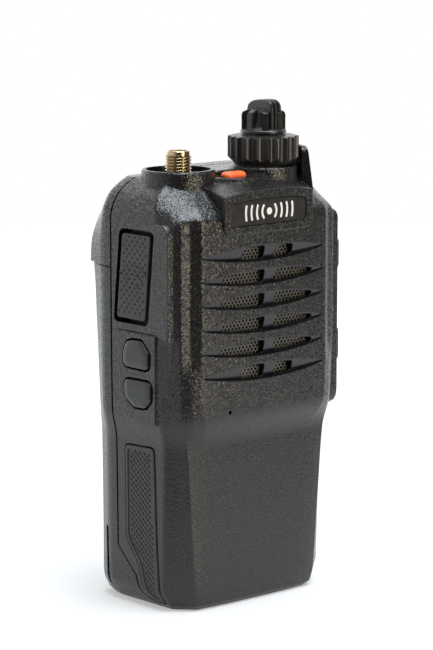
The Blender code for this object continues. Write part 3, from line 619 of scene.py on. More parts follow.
# %% Hollowing the front case
WALL = 1.8
combine(front, "INTERSECT",
        region("front region", [(-FAR, -5.0)] + seam(-SEAM_GAP) + [(-FAR, ABOVE_Z)]))
combine(front, "DIFFERENCE",
        case_solid("cavity", 15.0, 96.6, WALL, SMOOTH),
        box("cavity mouth", (-22.0, 5.0, 15.0), (22.0, 12.0, 96.0), SMOOTH),
        box("foot pocket", (-18.0, -11.0, 3.2), (18.0, -5.6, 16.0), SMOOTH))
for x, z in ((-19.0, 21.0), (19.0, 21.0), (-19.0, 90.0), (19.0, 48.0)):
    foot_y = -15.0 if z > 40 else -12.5
    combine(front, "UNION", rod("boss", (x, z), 2.6, foot_y, 4.2, "Y", 24, SMOOTH))
    combine(front, "DIFFERENCE", rod("boss hole", (x, z), 1.3, -8.0, 6.0, "Y", 16, SMOOTH))
print("front case:", len(front.data.polygons), "faces as a shell")

# %% [markdown]
# Six lens-shaped recesses cross the front. The floor of each leans inwards towards its lower edge,
# so the upper lip catches light and the lower one throws a shadow. Windows through the floor let
# the sound out past a punched metal sheet that keeps dust from the loudspeaker.

# %% Slots
SLOT_COUNT, SLOT_PITCH, SLOT_TOP_Z = 6, 5.707, 83.73
SLOT_MIDDLE_X, SLOT_HALF_WIDTH, SLOT_HALF_HEIGHT = -0.4, 19.7, 1.95
FRONT_FACE_Y, CROWN_DEPTH, CROWN_HALF_WIDTH = -17.7, 0.7, 20.1
# Where the window of each side starts, and how far a long and a short one reach.
WINDOW_ENDS = {-1: (0.4, 14.3, 7.6), 1: (2.9, 15.3, 8.8)}


def slot_edge(x, shift=0.0):
    """Half the height of a slot at a place across the front."""
    t = min(abs(x - SLOT_MIDDLE_X) / SLOT_HALF_WIDTH, 1.0)
    return max(SLOT_HALF_HEIGHT * (1 - t ** 1.9) ** 0.85 - shift, 0.0)


def slot_cutter(z):
    """A slot whose floor is deeper towards its lower edge."""
    rings = []
    for k in range(49):
        x = SLOT_MIDDLE_X + SLOT_HALF_WIDTH * math.sin(math.pi * (k / 48 - 0.5)) * 0.9995
        half = slot_edge(x) + 0.03
        skin = FRONT_FACE_Y + CROWN_DEPTH * (abs(x) / CROWN_HALF_WIDTH) ** CROWN_POWER
        top, bottom = skin + 0.2, skin + 0.25 + 1.15 * half / SLOT_HALF_HEIGHT
        rings.append([(x, -22.0, z - half), (x, -22.0, z + half), (x, top, z + half),
                      (x, bottom, z - half)])
    return ring_stack("slot", rings, SMOOTH)


def window_cutter(z, side, short):
    """A slit that follows the lens, with a rounded end next to the post."""
    inner, long_reach, short_reach = WINDOW_ENDS[side]
    reach = short_reach if short else long_reach
    upper, lower = [], []
    for k in range(25):
        x = inner + (reach - inner) * (0.5 - 0.5 * math.cos(math.pi * k / 24))
        ends = min((x - inner) / 1.0, (reach - x) / 0.8, 1.0)
        half = max(slot_edge(side * x, 0.25), 0.5)
        turn = 0.45 + 0.55 * math.sqrt(max(0.0, 1 - (1 - ends) ** 2))
        upper.append((side * x, z + half * turn))
        lower.append((side * x, z - (half - 0.12) * turn))
    return prism("window", upper + lower[::-1], -21.0, -12.0, "Y", SMOOTH)


for row in range(SLOT_COUNT):
    z = SLOT_TOP_Z - row * SLOT_PITCH
    short = row in (0, SLOT_COUNT - 1)
    combine(front, "DIFFERENCE", slot_cutter(z), window_cutter(z, -1, short),
            window_cutter(z, 1, short))
print("front case:", len(front.data.polygons), "faces with its slots")

# %% [markdown]
# Keys, buttons and inlays each sit in an opening of their own shape, with a gap of a few tenths of
# a millimetre. Drawing an outline once and using it for the piece and its hole keeps that gap even.

# %% Outlines of keys and inlays
NAMEPLATE = rounded([(-12.3, 90.6), (12.3, 90.6), (12.3, 96.0), (6.0, 96.7), (-6.0, 96.7),
                     (-12.3, 96.0)], [1.5, 1.5, 1.2, 4.0, 4.0, 1.2], 5)
TALK_CORNERS = [(-7.0, 88.8), (3.4, 88.8), (5.6, 68.3), (-4.9, 68.3)]
TALK_GAP = 0.85
talk_hole = rounded([tuple(p) for p in shrunk(TALK_CORNERS, -TALK_GAP * 1.3)], 1.6, 5)
KEY_UPPER = [(-6.5, 57.3), (-5.4, 56.7), (1.6, 56.8), (2.9, 57.5), (2.8, 60.6), (1.6, 62.9),
             (-0.6, 63.5), (-3.7, 63.6), (-6.6, 60.7)]
KEY_LOWER = [(-7.3, 49.6), (-5.4, 47.5), (-1.0, 47.3), (2.0, 49.3), (2.6, 52.4), (1.9, 53.8),
             (0.4, 53.9), (-6.2, 54.0), (-7.4, 53.0)]
ALARM_SIZE = (7.0, 3.5)
GRIP = [(4.7, 37.2), (-5.9, 37.6), (-6.4, 16.0), (-7.3, -0.8), (-3.2, -0.6), (-1.0, 3.6),
        (-0.1, 7.9), (4.8, 13.9)]
GRIP_BANDS = (0.0, 1.0, 2.0, 3.0, 3.8, 4.6, 5.6, 7.0, 9.0, 12.0, 20.0, 30.0)


def grip_outline(inset=0.0):
    corner = 1.4 - inset * 0.5
    return rounded(shrunk(GRIP, inset), [corner, corner, 3.0, corner, corner, 1.6, 2.0, 2.0])


def hug(made):
    """Bends a flat side piece so that it follows the case, which draws in towards the foot."""
    shape = bmesh.new()
    shape.from_mesh(made.data)
    for z in GRIP_BANDS:
        bmesh.ops.bisect_plane(shape, geom=shape.verts[:] + shape.edges[:] + shape.faces[:],
                               plane_co=(0.0, 0.0, z * MM), plane_no=(0.0, 0.0, 1.0))
    flat = section_at(20.0)[HALF_WIDTH]
    for vertex in shape.verts:
        vertex.co.x *= section_at(vertex.co.z / MM)[HALF_WIDTH] / flat
    shape.to_mesh(made.data)
    shape.free()
    return made


def capsule(size, extra=0.0):
    """The alarm button's outline: a bar with half-round ends."""
    radius, reach = size[1] / 2 + extra, (size[0] - size[1]) / 2
    x, y = ALARM_AT
    return (circle((x + reach, y), radius, 13, -math.pi / 2, math.pi)
            + circle((x - reach, y), radius, 13, math.pi / 2, math.pi))


def key_outline(corners, extra=0.0):
    return shrunk(rounded(corners, 0.6, 3), -extra)


print("grip outline of", len(grip_outline()), "points")

# %% [markdown]
# Now the openings themselves: the seat of the nameplate, a pinhole for the microphone, the well and
# bores in the top, and the openings at the sides. All could be one cutter, but one for each
# opening is easier to move.

# %% Openings
KEY_GAP = 0.45
combine(front, "DIFFERENCE",
        pillow("nameplate seat", NAMEPLATE, [(-22.0, -0.12), (-17.75, -0.12)], "Y", SMOOTH),
        rod("microphone hole", (-11.7, 46.2), 0.5, -21.0, -12.0, "Y", 20, SMOOTH),
        rod("well", ANTENNA_AT, 7.8, 98.4, 120.0, "Z", 96, SMOOTH),
        rod("socket hole", ANTENNA_AT, 3.5, 90.0, 120.0, "Z", 48, SMOOTH),
        rod("shaft hole", KNOB_AT, 3.8, 90.0, 120.0, "Z", 48, SMOOTH),
        prism("talk bar hole", talk_hole, -40.0, -24.0, "X", SMOOTH),
        prism("upper key hole", key_outline(KEY_UPPER, KEY_GAP), -40.0, -24.0, "X", SMOOTH),
        prism("lower key hole", key_outline(KEY_LOWER, KEY_GAP), -40.0, -24.0, "X", SMOOTH),
        prism("alarm hole", capsule(ALARM_SIZE, 0.25), 90.0, 120.0, "Z", SMOOTH))
for side in (-1, 1):
    combine(front, "DIFFERENCE", hug(prism("grip seat", grip_outline(-0.28), side * 24.4,
                                           side * 30.0, "X", SMOOTH)))
combine(front, "DIFFERENCE",
        box("jack opening", (20.0, -3.6, 53.6), (40.0, 4.6, 83.4), SMOOTH),
        box("cover seat", (25.7, -4.9, 52.1), (40.0, 5.9, 84.7), SMOOTH))
print("front case:", len(front.data.polygons), "faces with its openings")

place(front, "housing", "moulded_case", "front_case")

# %% [markdown]
# Behind the seam sit two more mouldings cut from the same loft. The upper one is a cap that closes
# the top and takes the latch. A thin lip runs round inside the seam, as on most cases of two
# halves: it lines them up, and no light passes through the gap.

# %% Rear cap
LIP_INSET, LIP_GAP = 0.9, 0.06


def behind(y, foot_z):
    """Everything behind y and above foot_z, seen from the side."""
    return [(y, foot_z), (FAR, foot_z), (FAR, ABOVE_Z), (y, ABOVE_Z)]


seam_back_y, lip_y = SEAM_Y + SEAM_GAP, SEAM_Y + LIP_GAP - SEAM_GAP
cap = case_solid("rear cap", 60.0, DECK_Z)
lift = rounded([(-14.5, 5.0), (17.6, 5.0), (15.4, 13.4), (-13.0, 13.4)], [0.4, 0.4, 2.0, 2.0])
combine(cap, "UNION", pillow("deck lift", lift, DECK_LEVELS, "Z"))
combine(cap, "INTERSECT", region("cap region", behind(seam_back_y, CAP_FOOT_Z)))
cap_lip = case_solid("cap lip", CAP_FOOT_Z, DECK_Z - LIP_INSET, LIP_INSET)
combine(cap_lip, "INTERSECT", region("cap lip region", behind(lip_y, CAP_FOOT_Z)))
combine(cap, "UNION", cap_lip)
combine(cap, "DIFFERENCE", box("cap hollow", (-20.0, 0.0, 83.0), (20.0, 14.4, 96.6), SMOOTH),
        box("latch seat", (-7.3, 16.1, 70.0), (7.3, 30.0, 88.3), SMOOTH),
        *[rod("strap hole", (side * 15.5, 96.0), 1.1, 10.0, 30.0, "Y", 24, SMOOTH)
          for side in (-1, 1)])
place(cap, "housing", "moulded_case", "rear_chassis")

# %% [markdown]
# The battery is the whole lower back of the radio, foot included, with its own lip inside the seam.
# It could be a plain box behind the case. Cutting it from the same loft makes its faces run on
# from the case. Its back has a recess for a label and grooves for the fingers that slide it off.

# %% Battery case
battery = case_solid("battery case", BASE_Z, 90.0)
battery_lip = case_solid("battery lip", BASE_Z + LIP_INSET, 90.0, LIP_INSET)
for made, shift in ((battery, SEAM_GAP), (battery_lip, LIP_GAP - SEAM_GAP)):
    outline = seam(shift)[:-1] + [(SEAM_Y + shift, BATTERY_TOP_Z), (FAR, BATTERY_TOP_Z),
                                  (FAR, -6.5)]
    combine(made, "INTERSECT", region("battery region", outline))
combine(battery, "UNION", battery_lip)
combine(battery, "DIFFERENCE",
        box("battery hollow", (-21.6, 0.0, 14.5), (21.6, 15.4, 77.4), SMOOTH),
        box("battery foot hollow", (-19.5, 9.4, 4.0), (19.5, 15.2, 16.0), SMOOTH))
label = rectangle(-15.5, 30.0, 15.5, 60.0, 1.5)
combine(battery, "DIFFERENCE",
        pillow("label recess", label, [(17.95, 0.4), (18.1, 0.0), (30.0, 0.0)], "Y", SMOOTH))
for row in range(7):
    z = 64.6 + row * 1.7
    for side in (-1, 1):
        groove = rectangle(side * 9.5, z, side * 20.0, z + 0.8, 0.38, 3)
        combine(battery, "DIFFERENCE", prism("finger groove", groove, 18.1, 30.0, "Y", SMOOTH))
groove = rounded([(11.7, -3.0), (13.3, -3.0), (13.6, 15.6), (12.1, 15.6)], [0.1, 0.1, 0.7, 0.7])
for side in (-1, 1):
    combine(battery, "DIFFERENCE",
            prism("charger groove", groove, side * 23.3, side * 40.0, "X", SMOOTH))
place(battery, "battery", "moulded_case", "battery_case")

# %% [markdown]
# The latch is a small slider that holds the battery. A thumb pushes it along, so it has grooves
# across its way. It could be sculpted; a bevelled block with three cuts is how it is drawn.

# %% Latch
latch_outline = rectangle(-6.8, 80.5, 6.8, 86.3, 0.9)
latch = pillow("battery latch", latch_outline, [(16.4, 0.0), (19.9, 0.0), (20.4, 0.5)], "Y")
for row in range(3):
    groove = rectangle(-5.2, 81.8 + row * 1.4, 5.2, 82.4 + row * 1.4, 0.25)
    combine(latch, "DIFFERENCE", prism("latch groove", groove, 20.0, 22.0, "Y"))
place(latch, "latch", "moulded_case", "battery_latch", finish=KNOB_PLASTIC)

# %% [markdown]
# The nameplate is a thin film in a shallow frame. A maker prints a name on it; this one carries a
# plain radio-wave mark instead: a dot with arcs spreading to both sides.

# %% Nameplate
PLATE_FACE_Y = -17.95
plate = pillow("nameplate", NAMEPLATE, [(-17.6, 0.0), (PLATE_FACE_Y + 0.08, 0.0),
                                        (PLATE_FACE_Y, 0.1)], "Y")
place(plate, "housing", "nameplate_face", "nameplate", finish=FACE_FILM)
MARK_AT = (0.3, 93.6)
MARK_Y = (PLATE_FACE_Y - 0.04, PLATE_FACE_Y + 0.05)
ARC_SPREADS = (0.78, 0.46, 0.325, 0.25)
HALF_STROKE = 0.3
marks = [rod("wave mark", MARK_AT, 0.85, *MARK_Y, "Y", 40)]
for side in (0.0, math.pi):
    for k, spread in enumerate(ARC_SPREADS):
        radius = 2.3 + 1.75 * k
        outer = circle(MARK_AT, radius + HALF_STROKE, 17, side - spread, 2 * spread)
        inner = circle(MARK_AT, radius - HALF_STROKE, 17, side + spread, -2 * spread)
        marks.append(prism("wave", outer + inner, *MARK_Y, "Y"))
place(merged("wave mark", marks), "housing", "nameplate_face", finish=WHITE_PRINT)

# %% [markdown]
# The sheet behind the slots is punched in staggered rows. Each hole is a real one here, cut as a
# cell of a honeycomb, so light and shadow pass through it as they do in the metal.

# %% Punched sheet
HOLE_PITCH, ROW_PITCH, HOLE_RADIUS = 1.14, 0.8, 0.365
SHEET_Y = (-15.3, -15.05)


def punched_sheet(name, half_width, low_z, high_z):
    """Hexagon cells side by side, each with a round hole through both faces."""
    points, faces = [], []
    half, third = HOLE_PITCH / 2, ROW_PITCH / 3
    hexagon = [(0.0, 2 * third), (half, third), (half, -third), (0.0, -2 * third),
               (-half, -third), (-half, third)]
    rim = []
    for k in range(6):
        a, b = hexagon[k], hexagon[(k + 1) % 6]
        rim += [a, ((a[0] + b[0]) / 2, (a[1] + b[1]) / 2)]
    hole = [(HOLE_RADIUS * math.cos(math.atan2(b, a)), HOLE_RADIUS * math.sin(math.atan2(b, a)))
            for a, b in rim]
    for row in range(int((high_z - low_z) / ROW_PITCH)):
        z = low_z + (row + 0.5) * ROW_PITCH
        offset = half if row % 2 else 0.0
        columns = int(half_width / HOLE_PITCH)
        for column in range(-columns, columns + (0 if row % 2 else 1)):
            x = column * HOLE_PITCH + offset
            first = len(points)
            for y in SHEET_Y:
                points += [(x + a, y, z + b) for a, b in rim + hole]
            for k in range(12):
                j = (k + 1) % 12
                faces.append([first + k, first + j, first + 12 + j, first + 12 + k])
                faces.append([first + 24 + k, first + 36 + k, first + 36 + j, first + 24 + j])
                faces.append([first + 12 + k, first + 12 + j, first + 36 + j, first + 36 + k])
    mesh = bpy.data.meshes.new(name)
    mesh.from_pydata([[c * MM for c in p] for p in points], [], faces)
    shape = bmesh.new()
    shape.from_mesh(mesh)
    bmesh.ops.remove_doubles(shape, verts=shape.verts, dist=0.00002)
    edge = [e for e in shape.edges if len(e.link_faces) == 1]
    bmesh.ops.bridge_loops(shape, edges=edge)
    bmesh.ops.recalc_face_normals(shape, faces=shape.faces)
    shape.to_mesh(mesh)
    shape.free()
    return add(name, mesh)


sheet = punched_sheet("punched sheet", 17.2, 52.6, 86.9)
place(sheet, "housing", "cast_alloy", "speaker_mesh", finish=NICKEL)

# %% [markdown]
# The antenna socket has a true screw thread: the radius follows a triangle wave that climbs one
# pitch per turn. Its crests are what an antenna screws down on.

# %% Antenna socket
THREAD_RADIUS, THREAD_DEPTH, THREAD_PITCH = 3.175, 0.42, 0.72
SOCKET_TOP_Z = 107.6


def thread_ring(z, steps, depth):
    """One ring of the thread, whose crest stands a little further round than in the ring below."""
    ring = []
    for k in range(steps):
        phase = (z / THREAD_PITCH - k / steps) % 1.0
        wave = min(1.0, max(0.0, abs(phase - 0.5) * 2.6 - 0.3))
        radius = THREAD_RADIUS - depth * wave
        angle = math.tau * k / steps
        ring.append((ANTENNA_AT[0] + radius * math.cos(angle),
                     ANTENNA_AT[1] + radius * math.sin(angle), z))
    return ring


thread_heights = np.arange(96.3, SOCKET_TOP_Z - 0.9, 0.08)
socket = ring_stack("antenna socket", [thread_ring(z, 60, THREAD_DEPTH) for z in thread_heights])
tip = lathe("socket tip", ANTENNA_AT, [(2.7, 105.0), (2.7, SOCKET_TOP_Z - 0.15),
                                       (2.55, SOCKET_TOP_Z)])
flange = lathe("socket flange", ANTENNA_AT, [(4.6, 94.7), (4.6, 96.2)])
combine(socket, "UNION", tip, flange)
combine(socket, "DIFFERENCE", rod("socket bore", ANTENNA_AT, 2.15, 90.0, 120.0))
place(socket, "housing", "gold_plate", "sma_socket", finish=GOLD, angle=40.0)
nut = pillow("socket nut", circle(ANTENNA_AT, 4.75, 6, 0.3),
             [(98.7, 0.25), (98.85, 0.0), (100.25, 0.0), (100.4, 0.25)], "Z")
combine(nut, "DIFFERENCE", rod("nut bore", ANTENNA_AT, 3.3, 90.0, 120.0))
place(nut, "housing", "gold_plate", "sma_nut", finish=GOLD)

# %% [markdown]
# The volume ring is scalloped all round so that a wet glove can turn it. Cutting twenty flutes one
# by one would work too, but here the radius simply follows the angle, and the rims follow it.

# %% Volume ring
FLUTES, RING_RADIUS, FLUTE_DEPTH, FLUTE_STEPS = 20, 8.75, 0.8, 16


def fluted_radius(angle):
    """The ring's radius at an angle: a hollow for each flute and a ridge between two of them."""
    u = (angle * FLUTES / math.tau) % 1.0 - 0.5
    return RING_RADIUS - FLUTE_DEPTH * max(0.0, 1 - (u / 0.43) ** 2)


def around(radius_and_height):
    """A ring whose radius and height both depend on the angle."""
    count = FLUTES * FLUTE_STEPS
    ring = []
    for k in range(count):
        angle = math.tau * k / count
        radius, z = radius_and_height(angle)
        ring.append((KNOB_AT[0] + radius * math.cos(angle),
                     KNOB_AT[1] + radius * math.sin(angle), z))
    return ring


volume = ring_stack("volume ring", [
    around(lambda a: (6.4, 102.65)),
    around(lambda a: (7.1, 102.65)),
    around(lambda a: (7.4, 103.2)),
    around(lambda a: (fluted_radius(a), 103.35 + (fluted_radius(a) - 7.5))),
    around(lambda a: (fluted_radius(a), 109.95 - (fluted_radius(a) - 6.6) * 0.22)),
    around(lambda a: (6.6, 109.98)),
    around(lambda a: (5.2, 110.0))])
combine(volume, "DIFFERENCE", rod("ring bore", KNOB_AT, 2.5, 90.0, 120.0, "Z", 48),
        rod("ring pocket", KNOB_AT, 6.2, 90.0, 105.2, "Z", 64))
place(volume, "volume", "knob_plastic", "volume_knob", finish=KNOB_PLASTIC, angle=32.0)

# %% [markdown]
# The channel knob above the ring has eight short ribs and one tall bar across its dome, which a
# thumb can feel in the dark. A turned dome is joined with the bar and with one rib drawn once and
# turned to eight places.

# %% Channel knob
BAR_ANGLE, RIB_ANGLE = math.radians(-93.0), math.radians(-82.0)
KNOB_SHIFT = Matrix.Translation((KNOB_AT[0] * MM, KNOB_AT[1] * MM, 0.0))
channel = lathe("channel knob", KNOB_AT, [
    (5.3, 110.25), (5.6, 110.45), (5.6, 110.9), (5.4, 111.1), (4.2, 111.8), (3.5, 113.6),
    (3.5, 115.4), (3.0, 116.1), (1.5, 116.4)], 96)
RIBS = 8
rib_side = [(1.0, 110.6), (5.35, 110.6), (5.35, 114.8), (5.1, 115.4), (3.8, 116.0), (1.0, 116.1)]
for k in range(RIBS):
    rib = prism("short rib", rib_side, -0.75, 0.75, "Y")
    rib.data.transform(KNOB_SHIFT @ Matrix.Rotation(RIB_ANGLE + math.tau * k / RIBS, 4, "Z"))
    combine(channel, "UNION", rib)
bar_side = rounded([(-4.6, 110.6), (5.0, 110.6), (5.0, 118.4), (0.0, 118.6), (-3.9, 117.7),
                    (-4.6, 115.4)], [0.2, 0.2, 2.4, 2.5, 2.0, 1.0], 6)
bar = pillow("tall bar", bar_side, [(-1.75, 0.5), (-1.65, 0.2), (-1.35, 0.0), (1.35, 0.0),
                                    (1.65, 0.2), (1.75, 0.5)], "Y")
for y in (-0.6, 0.6):
    combine(bar, "DIFFERENCE", box("pointer groove", (0.8, y - 0.2, 111.4), (6.0, y + 0.2, 120.0)))
bar.data.transform(KNOB_SHIFT @ Matrix.Rotation(BAR_ANGLE, 4, "Z"))
combine(channel, "UNION", bar)
combine(channel, "DIFFERENCE", rod("knob bore", KNOB_AT, 1.8, 90.0, 115.0))
place(channel, "channel", "knob_plastic", "channel_knob", finish=KNOB_PLASTIC)

# %% [markdown]
# The orange bar is the alarm button. It is moulded in bright rubber so that it can be found at
# once, and sits in front of the deck where a finger meets it before anything else.

# %% Alarm button
alarm = pillow("alarm button", capsule(ALARM_SIZE),
               [(94.6, 0.3), (101.2, 0.0), (101.7, 0.15), (102.0, 0.5), (102.15, 1.0)], "Z")
place(alarm, "alarm", "orange_rubber", "alarm_button", finish=ORANGE_RUBBER, angle=60.0)

# %% [markdown]
# The talk bar is pitted all over in staggered rows for grip. Three smooth curved strokes stand out
# from it, a plain sign for speech. The pits are cut for real and the strokes are raised.

# %% Talk bar
PIT_PITCH, PIT_ROW = 1.95, 1.0
TALK_FACE_X = -27.6
PIT_OPENING = 0.4  # how far a pit cutter stands out of the face


def inside(outline, a, b):
    """Whether a point lies inside an outline, by counting the sides it sees in one direction."""
    hit = False
    for (a0, b0), (a1, b1) in zip(outline, outline[1:] + outline[:1]):
        if (b0 > b) != (b1 > b) and a < a0 + (b - b0) * (a1 - a0) / (b1 - b0):
            hit = not hit
    return hit


def pits(name, outline, face_x, side, pitch, row, half_y, half_z, depth, lean=0.0):
    """Diamond-shaped pits in staggered rows, as one cutter. Lean tips each pit's long axis."""
    low_a, high_a = min(p[0] for p in outline), max(p[0] for p in outline)
    low_b, high_b = min(p[1] for p in outline), max(p[1] for p in outline)
    points, faces = [], []
    for r in range(int((high_b - low_b) / row) + 1):
        for c in range(int((high_a - low_a) / pitch) + 2):
            a, b = low_a + (c + (r % 2) / 2) * pitch, low_b + r * row
            if not inside(outline, a, b):
                continue
            n = len(points)
            outer = face_x + side * PIT_OPENING
            ring = [(a - half_y, b), (a + lean * half_y, b + half_z), (a + half_y, b),
                    (a - lean * half_y, b - half_z)]
            points += [(outer, p + (p - a) * PIT_OPENING / depth,
                        q + (q - b) * PIT_OPENING / depth) for p, q in ring]
            points.append((face_x - side * depth, a, b))
            faces += [[n, n + 1, n + 2, n + 3]]
            faces += [[n + k, n + (k + 1) % 4, n + 4] for k in range(4)]
    return solid(name, points, faces, SMOOTH)


talk_outline = rounded(TALK_CORNERS, 1.0, 5)
talk = pillow("talk bar", talk_outline, [(-25.5, 0.0), (TALK_FACE_X + 0.35, 0.0),
                                         (TALK_FACE_X + 0.1, 0.12), (TALK_FACE_X, 0.4)], "X")
combine(talk, "DIFFERENCE", pits("talk pits", shrunk(talk_outline, 0.75), TALK_FACE_X, -1,
                                 PIT_PITCH, PIT_ROW, half_y=0.5, half_z=0.5, depth=0.3))
SPEECH_AT = (-0.6, 74.0)
for k in range(3):
    radius = 2.6 + 2.2 * k
    stroke = (circle(SPEECH_AT, radius + 0.22, 13, math.radians(48), math.radians(84))
              + circle(SPEECH_AT, radius - 0.22, 13, math.radians(132), math.radians(-84)))
    combine(talk, "UNION", prism("stroke", stroke, TALK_FACE_X + 0.5, TALK_FACE_X - 0.16, "X"))
place(talk, "ptt", "soft_rubber", "ptt_button", finish=SOFT_RUBBER)

# %% [markdown]
# The two keys under it are cast in glossy rubber, domed and cut off at opposite corners, so that
# each can be told from the other by touch.

# %% Side keys
KEY_LEVELS = [(-25.0, 0.0), (-27.75, 0.0), (-28.0, 0.12), (-28.15, 0.4), (-28.3, 1.2),
              (-28.35, 2.0)]
for name, corners, body, node in (("upper key", KEY_UPPER, "key_upper", "side_key_upper"),
                                  ("lower key", KEY_LOWER, "key_lower", "side_key_lower")):
    key = pillow(name, key_outline(corners), KEY_LEVELS, "X", inwards=scaled)
    place(key, body, "key_rubber", node, finish=KEY_RUBBER, angle=50.0)

# %% [markdown]
# Grip panels are inlaid in both sides of the lower case: a smooth raised border round a field of
# leaning diamond pits.

# %% Grip panels
GRIP_FACE_X = 25.75
GRIP_FIELD_X = GRIP_FACE_X - 0.2
GRIP_LEVELS = ((24.5, 0.0), (GRIP_FACE_X - 0.3, 0.0), (GRIP_FACE_X - 0.07, 0.12),
               (GRIP_FACE_X, 0.35))
for name, side, node in (("left grip", -1, "grip_panel_left"),
                         ("right grip", 1, "grip_panel_right")):
    grip = ring_stack(name, [on_plane(grip_outline(inset), "X", side * x)
                             for x, inset in GRIP_LEVELS])
    combine(grip, "DIFFERENCE", prism("grip field", grip_outline(0.95), side * GRIP_FIELD_X,
                                      side * (GRIP_FACE_X + 2.0), "X"))
    combine(grip, "DIFFERENCE", pits("grip pits", grip_outline(1.5), side * GRIP_FIELD_X, side,
                                     1.66, 0.7, half_y=0.42, half_z=0.55, depth=0.42, lean=0.6))
    place(hug(grip), "housing", "soft_rubber", node, finish=SOFT_RUBBER)

# %% [markdown]
# On the right a rubber cover closes the accessory socket. Raised pads at both ends give the
# fingers something to pull, and cross grooves between them let the rubber flex.

# %% Accessory cover
cover = pillow("accessory cover", cover_outline,
               [(27.0, 0.0), (28.8, 0.0), (29.4, 0.3), (29.5, 0.7)], "X")
for low, high in ((53.0, 61.5), (76.0, 83.8)):
    end_pad = rectangle(-10.8, low, 5.0, high, 1.3)
    combine(cover, "UNION", pillow("end pad", end_pad,
                                   [(28.0, 0.0), (30.1, 0.0), (30.7, 0.2), (30.9, 0.6)], "X"))
for row in range(6):
    z = 64.0 + row * 1.9
    groove = rectangle(-9.8, z, 4.4, z + 0.9, 0.4)
    combine(cover, "DIFFERENCE", prism("cover groove", groove, 29.1, 31.0, "X"))
place(cover, "cover", "soft_rubber", "accessory_cover", finish=SOFT_RUBBER)

# %% [markdown]
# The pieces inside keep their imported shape. Each gets the finish of what it is made of, and a
# small rounding on its edges.

# %% Inner pieces
FINISH_OF_SLOT = {"moulded_case": CASE_FINISHES[1], "knob_plastic": KNOB_PLASTIC,
                  "soft_rubber": SOFT_RUBBER, "key_rubber": KEY_RUBBER,
                  "orange_rubber": ORANGE_RUBBER, "nameplate_face": FACE_FILM, "gold_plate": GOLD,
                  "white_ptfe": PTFE, "cast_alloy": ALLOY, "zinc_steel": STEEL,
                  "circuit_board": BOARD, "cell_wrap": CELL_WRAP, "speaker_paper": PAPER}
kept = [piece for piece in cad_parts.values() if not piece.hide_render]
for piece in kept:
    slot = piece.data.materials[0].name.split(".")[0]
    piece.data.materials.clear()
    piece.data.materials.append(FINISH_OF_SLOT[slot])
    rounding = piece.modifiers.new("edge rounding", "BEVEL")
    rounding.width, rounding.segments, rounding.limit_method = 0.12 * MM, 2, "ANGLE"
print(len(kept), "inner pieces finished")

# %% [markdown]
# The radio stands on a white table. A real one would fade to grey at a distance; this one glows a
# little by itself, so that it stays white while it still takes the soft shadow of the radio.

# %% Table
VIEW_ANGLE = math.radians(-41.839)
RIGHT = Vector((math.cos(VIEW_ANGLE), math.sin(VIEW_ANGLE), 0.0))
AWAY = Vector((-math.sin(VIEW_ANGLE), math.cos(VIEW_ANGLE), 0.0))
TABLE_EDGES = [(-1.2, -0.13), (0.3, -0.13), (0.3, 0.7), (-1.2, 0.7)]
floor_mesh = bpy.data.meshes.new("table")
foot = Vector((0.0, 0.0, BASE_Z * MM))
corners = [RIGHT * a + AWAY * b + foot for a, b in TABLE_EDGES]
floor_mesh.from_pydata(corners, [], [(0, 1, 2, 3)])
floor = add("white_table", floor_mesh)
WHITE = (1.0, 1.0, 1.0, 1.0)
table_finish = Finish("white table")
for name, value in (("Base Color", (0.44, 0.44, 0.44, 1.0)), ("Roughness", 0.9),
                    ("Emission Color", WHITE), ("Emission Strength", 0.37),
                    ("Specular IOR Level", 0.0)):
    table_finish.set(name, value)
floor_mesh.materials.append(table_finish.material)
print("table at", BASE_Z, "mm")

# %% [markdown]
# Black plastic shows its shape by what it reflects, so the room itself is the main light: broad
# glows from above, behind and both sides, and a dark side where the viewer stands. An image of a
# studio would do the same; four soft glows are easier to aim.

# %% Room
world = bpy.data.worlds.new("studio")
bpy.context.scene.world = world
studio = Nodes(world)
studio.tree.nodes.clear()
direction = studio.node("ShaderNodeTexCoord").outputs["Generated"]


def glow(towards, strength, sharpness):
    """Light from one side of the room: strongest straight from it, and fading around it."""
    aim = {0: direction, 1: Vector(towards).normalized()}
    facing = studio.node("ShaderNodeVectorMath", aim, operation="DOT_PRODUCT").outputs["Value"]
    share = studio.math("MAXIMUM", facing, 0.0)
    return studio.math("MULTIPLY", studio.math("POWER", share, sharpness), strength)


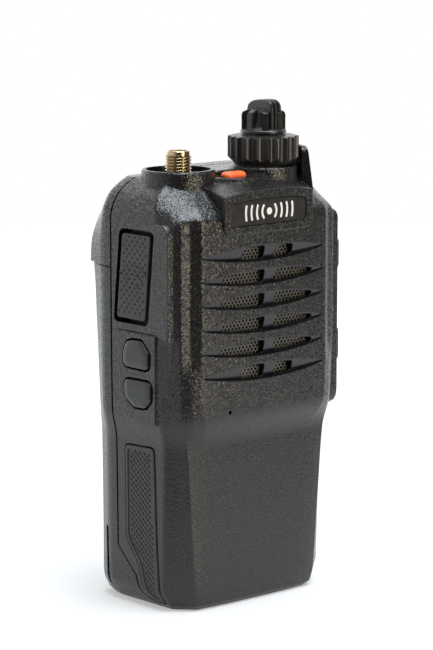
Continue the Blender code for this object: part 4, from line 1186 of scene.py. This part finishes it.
GLOWS = [((0.0, 0.1, 1.0), 1.0, 6.0), ((0.1, 1.0, 0.15), 1.9, 4.0),
         ((-1.0, 0.35, 0.1), 1.1, 4.0), ((1.0, 0.4, 0.1), 1.1, 4.0)]
light = 0.035  # what the room gives where no glow reaches
for towards, strength, sharpness in GLOWS:
    light = studio.math("ADD", glow(towards, strength, sharpness), light)
room = studio.node("ShaderNodeBackground", {"Color": WHITE, "Strength": light})
paper = studio.node("ShaderNodeBackground", {"Color": WHITE})
seen = studio.node("ShaderNodeLightPath").outputs["Is Camera Ray"]
choose = studio.node("ShaderNodeMixShader", {"Fac": seen, 1: room.outputs[0],
                                             2: paper.outputs[0]})
studio.node("ShaderNodeOutputWorld", {"Surface": choose.outputs[0]})
print(len(GLOWS), "glows in the room")

# %% [markdown]
# Two lamps finish the light. A broad cool one overhead draws the soft shadow and lifts the
# shoulders; a small warm one in front brings out the grain of the lower case.

# %% Lamps
sky = add("overhead", bpy.data.lights.new("overhead", "SUN"))
sky.data.energy, sky.data.angle, sky.data.color = 4.6, math.radians(46.0), (0.86, 0.94, 1.0)
sky.rotation_euler = Vector((0.1, -0.2, 0.97)).to_track_quat("Z", "Y").to_euler()
FRONT_LAMP_AT, LIT_POINT = Vector((0.16, -0.85, 0.16)), Vector((0.0, 0.0, 0.06))
front_lamp = bpy.data.lights.new("front", "AREA")
front_lamp.shape, front_lamp.size, front_lamp.size_y = "RECTANGLE", 0.26, 0.36
front_lamp.energy, front_lamp.color = 4.2, (1.0, 0.87, 0.69)
front_box = add("front", front_lamp)
front_box.location = FRONT_LAMP_AT
front_box.rotation_euler = (LIT_POINT - FRONT_LAMP_AT).to_track_quat("-Z", "Y").to_euler()
print("studio lit")

# %% [markdown]
# The camera stands a little above the radio and to its left, far enough away that the sides stay
# nearly parallel.

# %% Camera
camera = add("camera", bpy.data.cameras.new("camera"))
camera.location = (-0.44118, -0.49220, 0.17405)
camera.rotation_euler = (math.radians(80.539), 0.0, VIEW_ANGLE)
camera.data.lens = 151.93
camera.data.sensor_width = 36.0
camera.data.clip_start, camera.data.clip_end = 0.01, 20.0
bpy.context.scene.camera = camera
bpy.context.scene.view_settings.view_transform = "Standard"
print("camera with a", round(camera.data.lens), "mm lens")
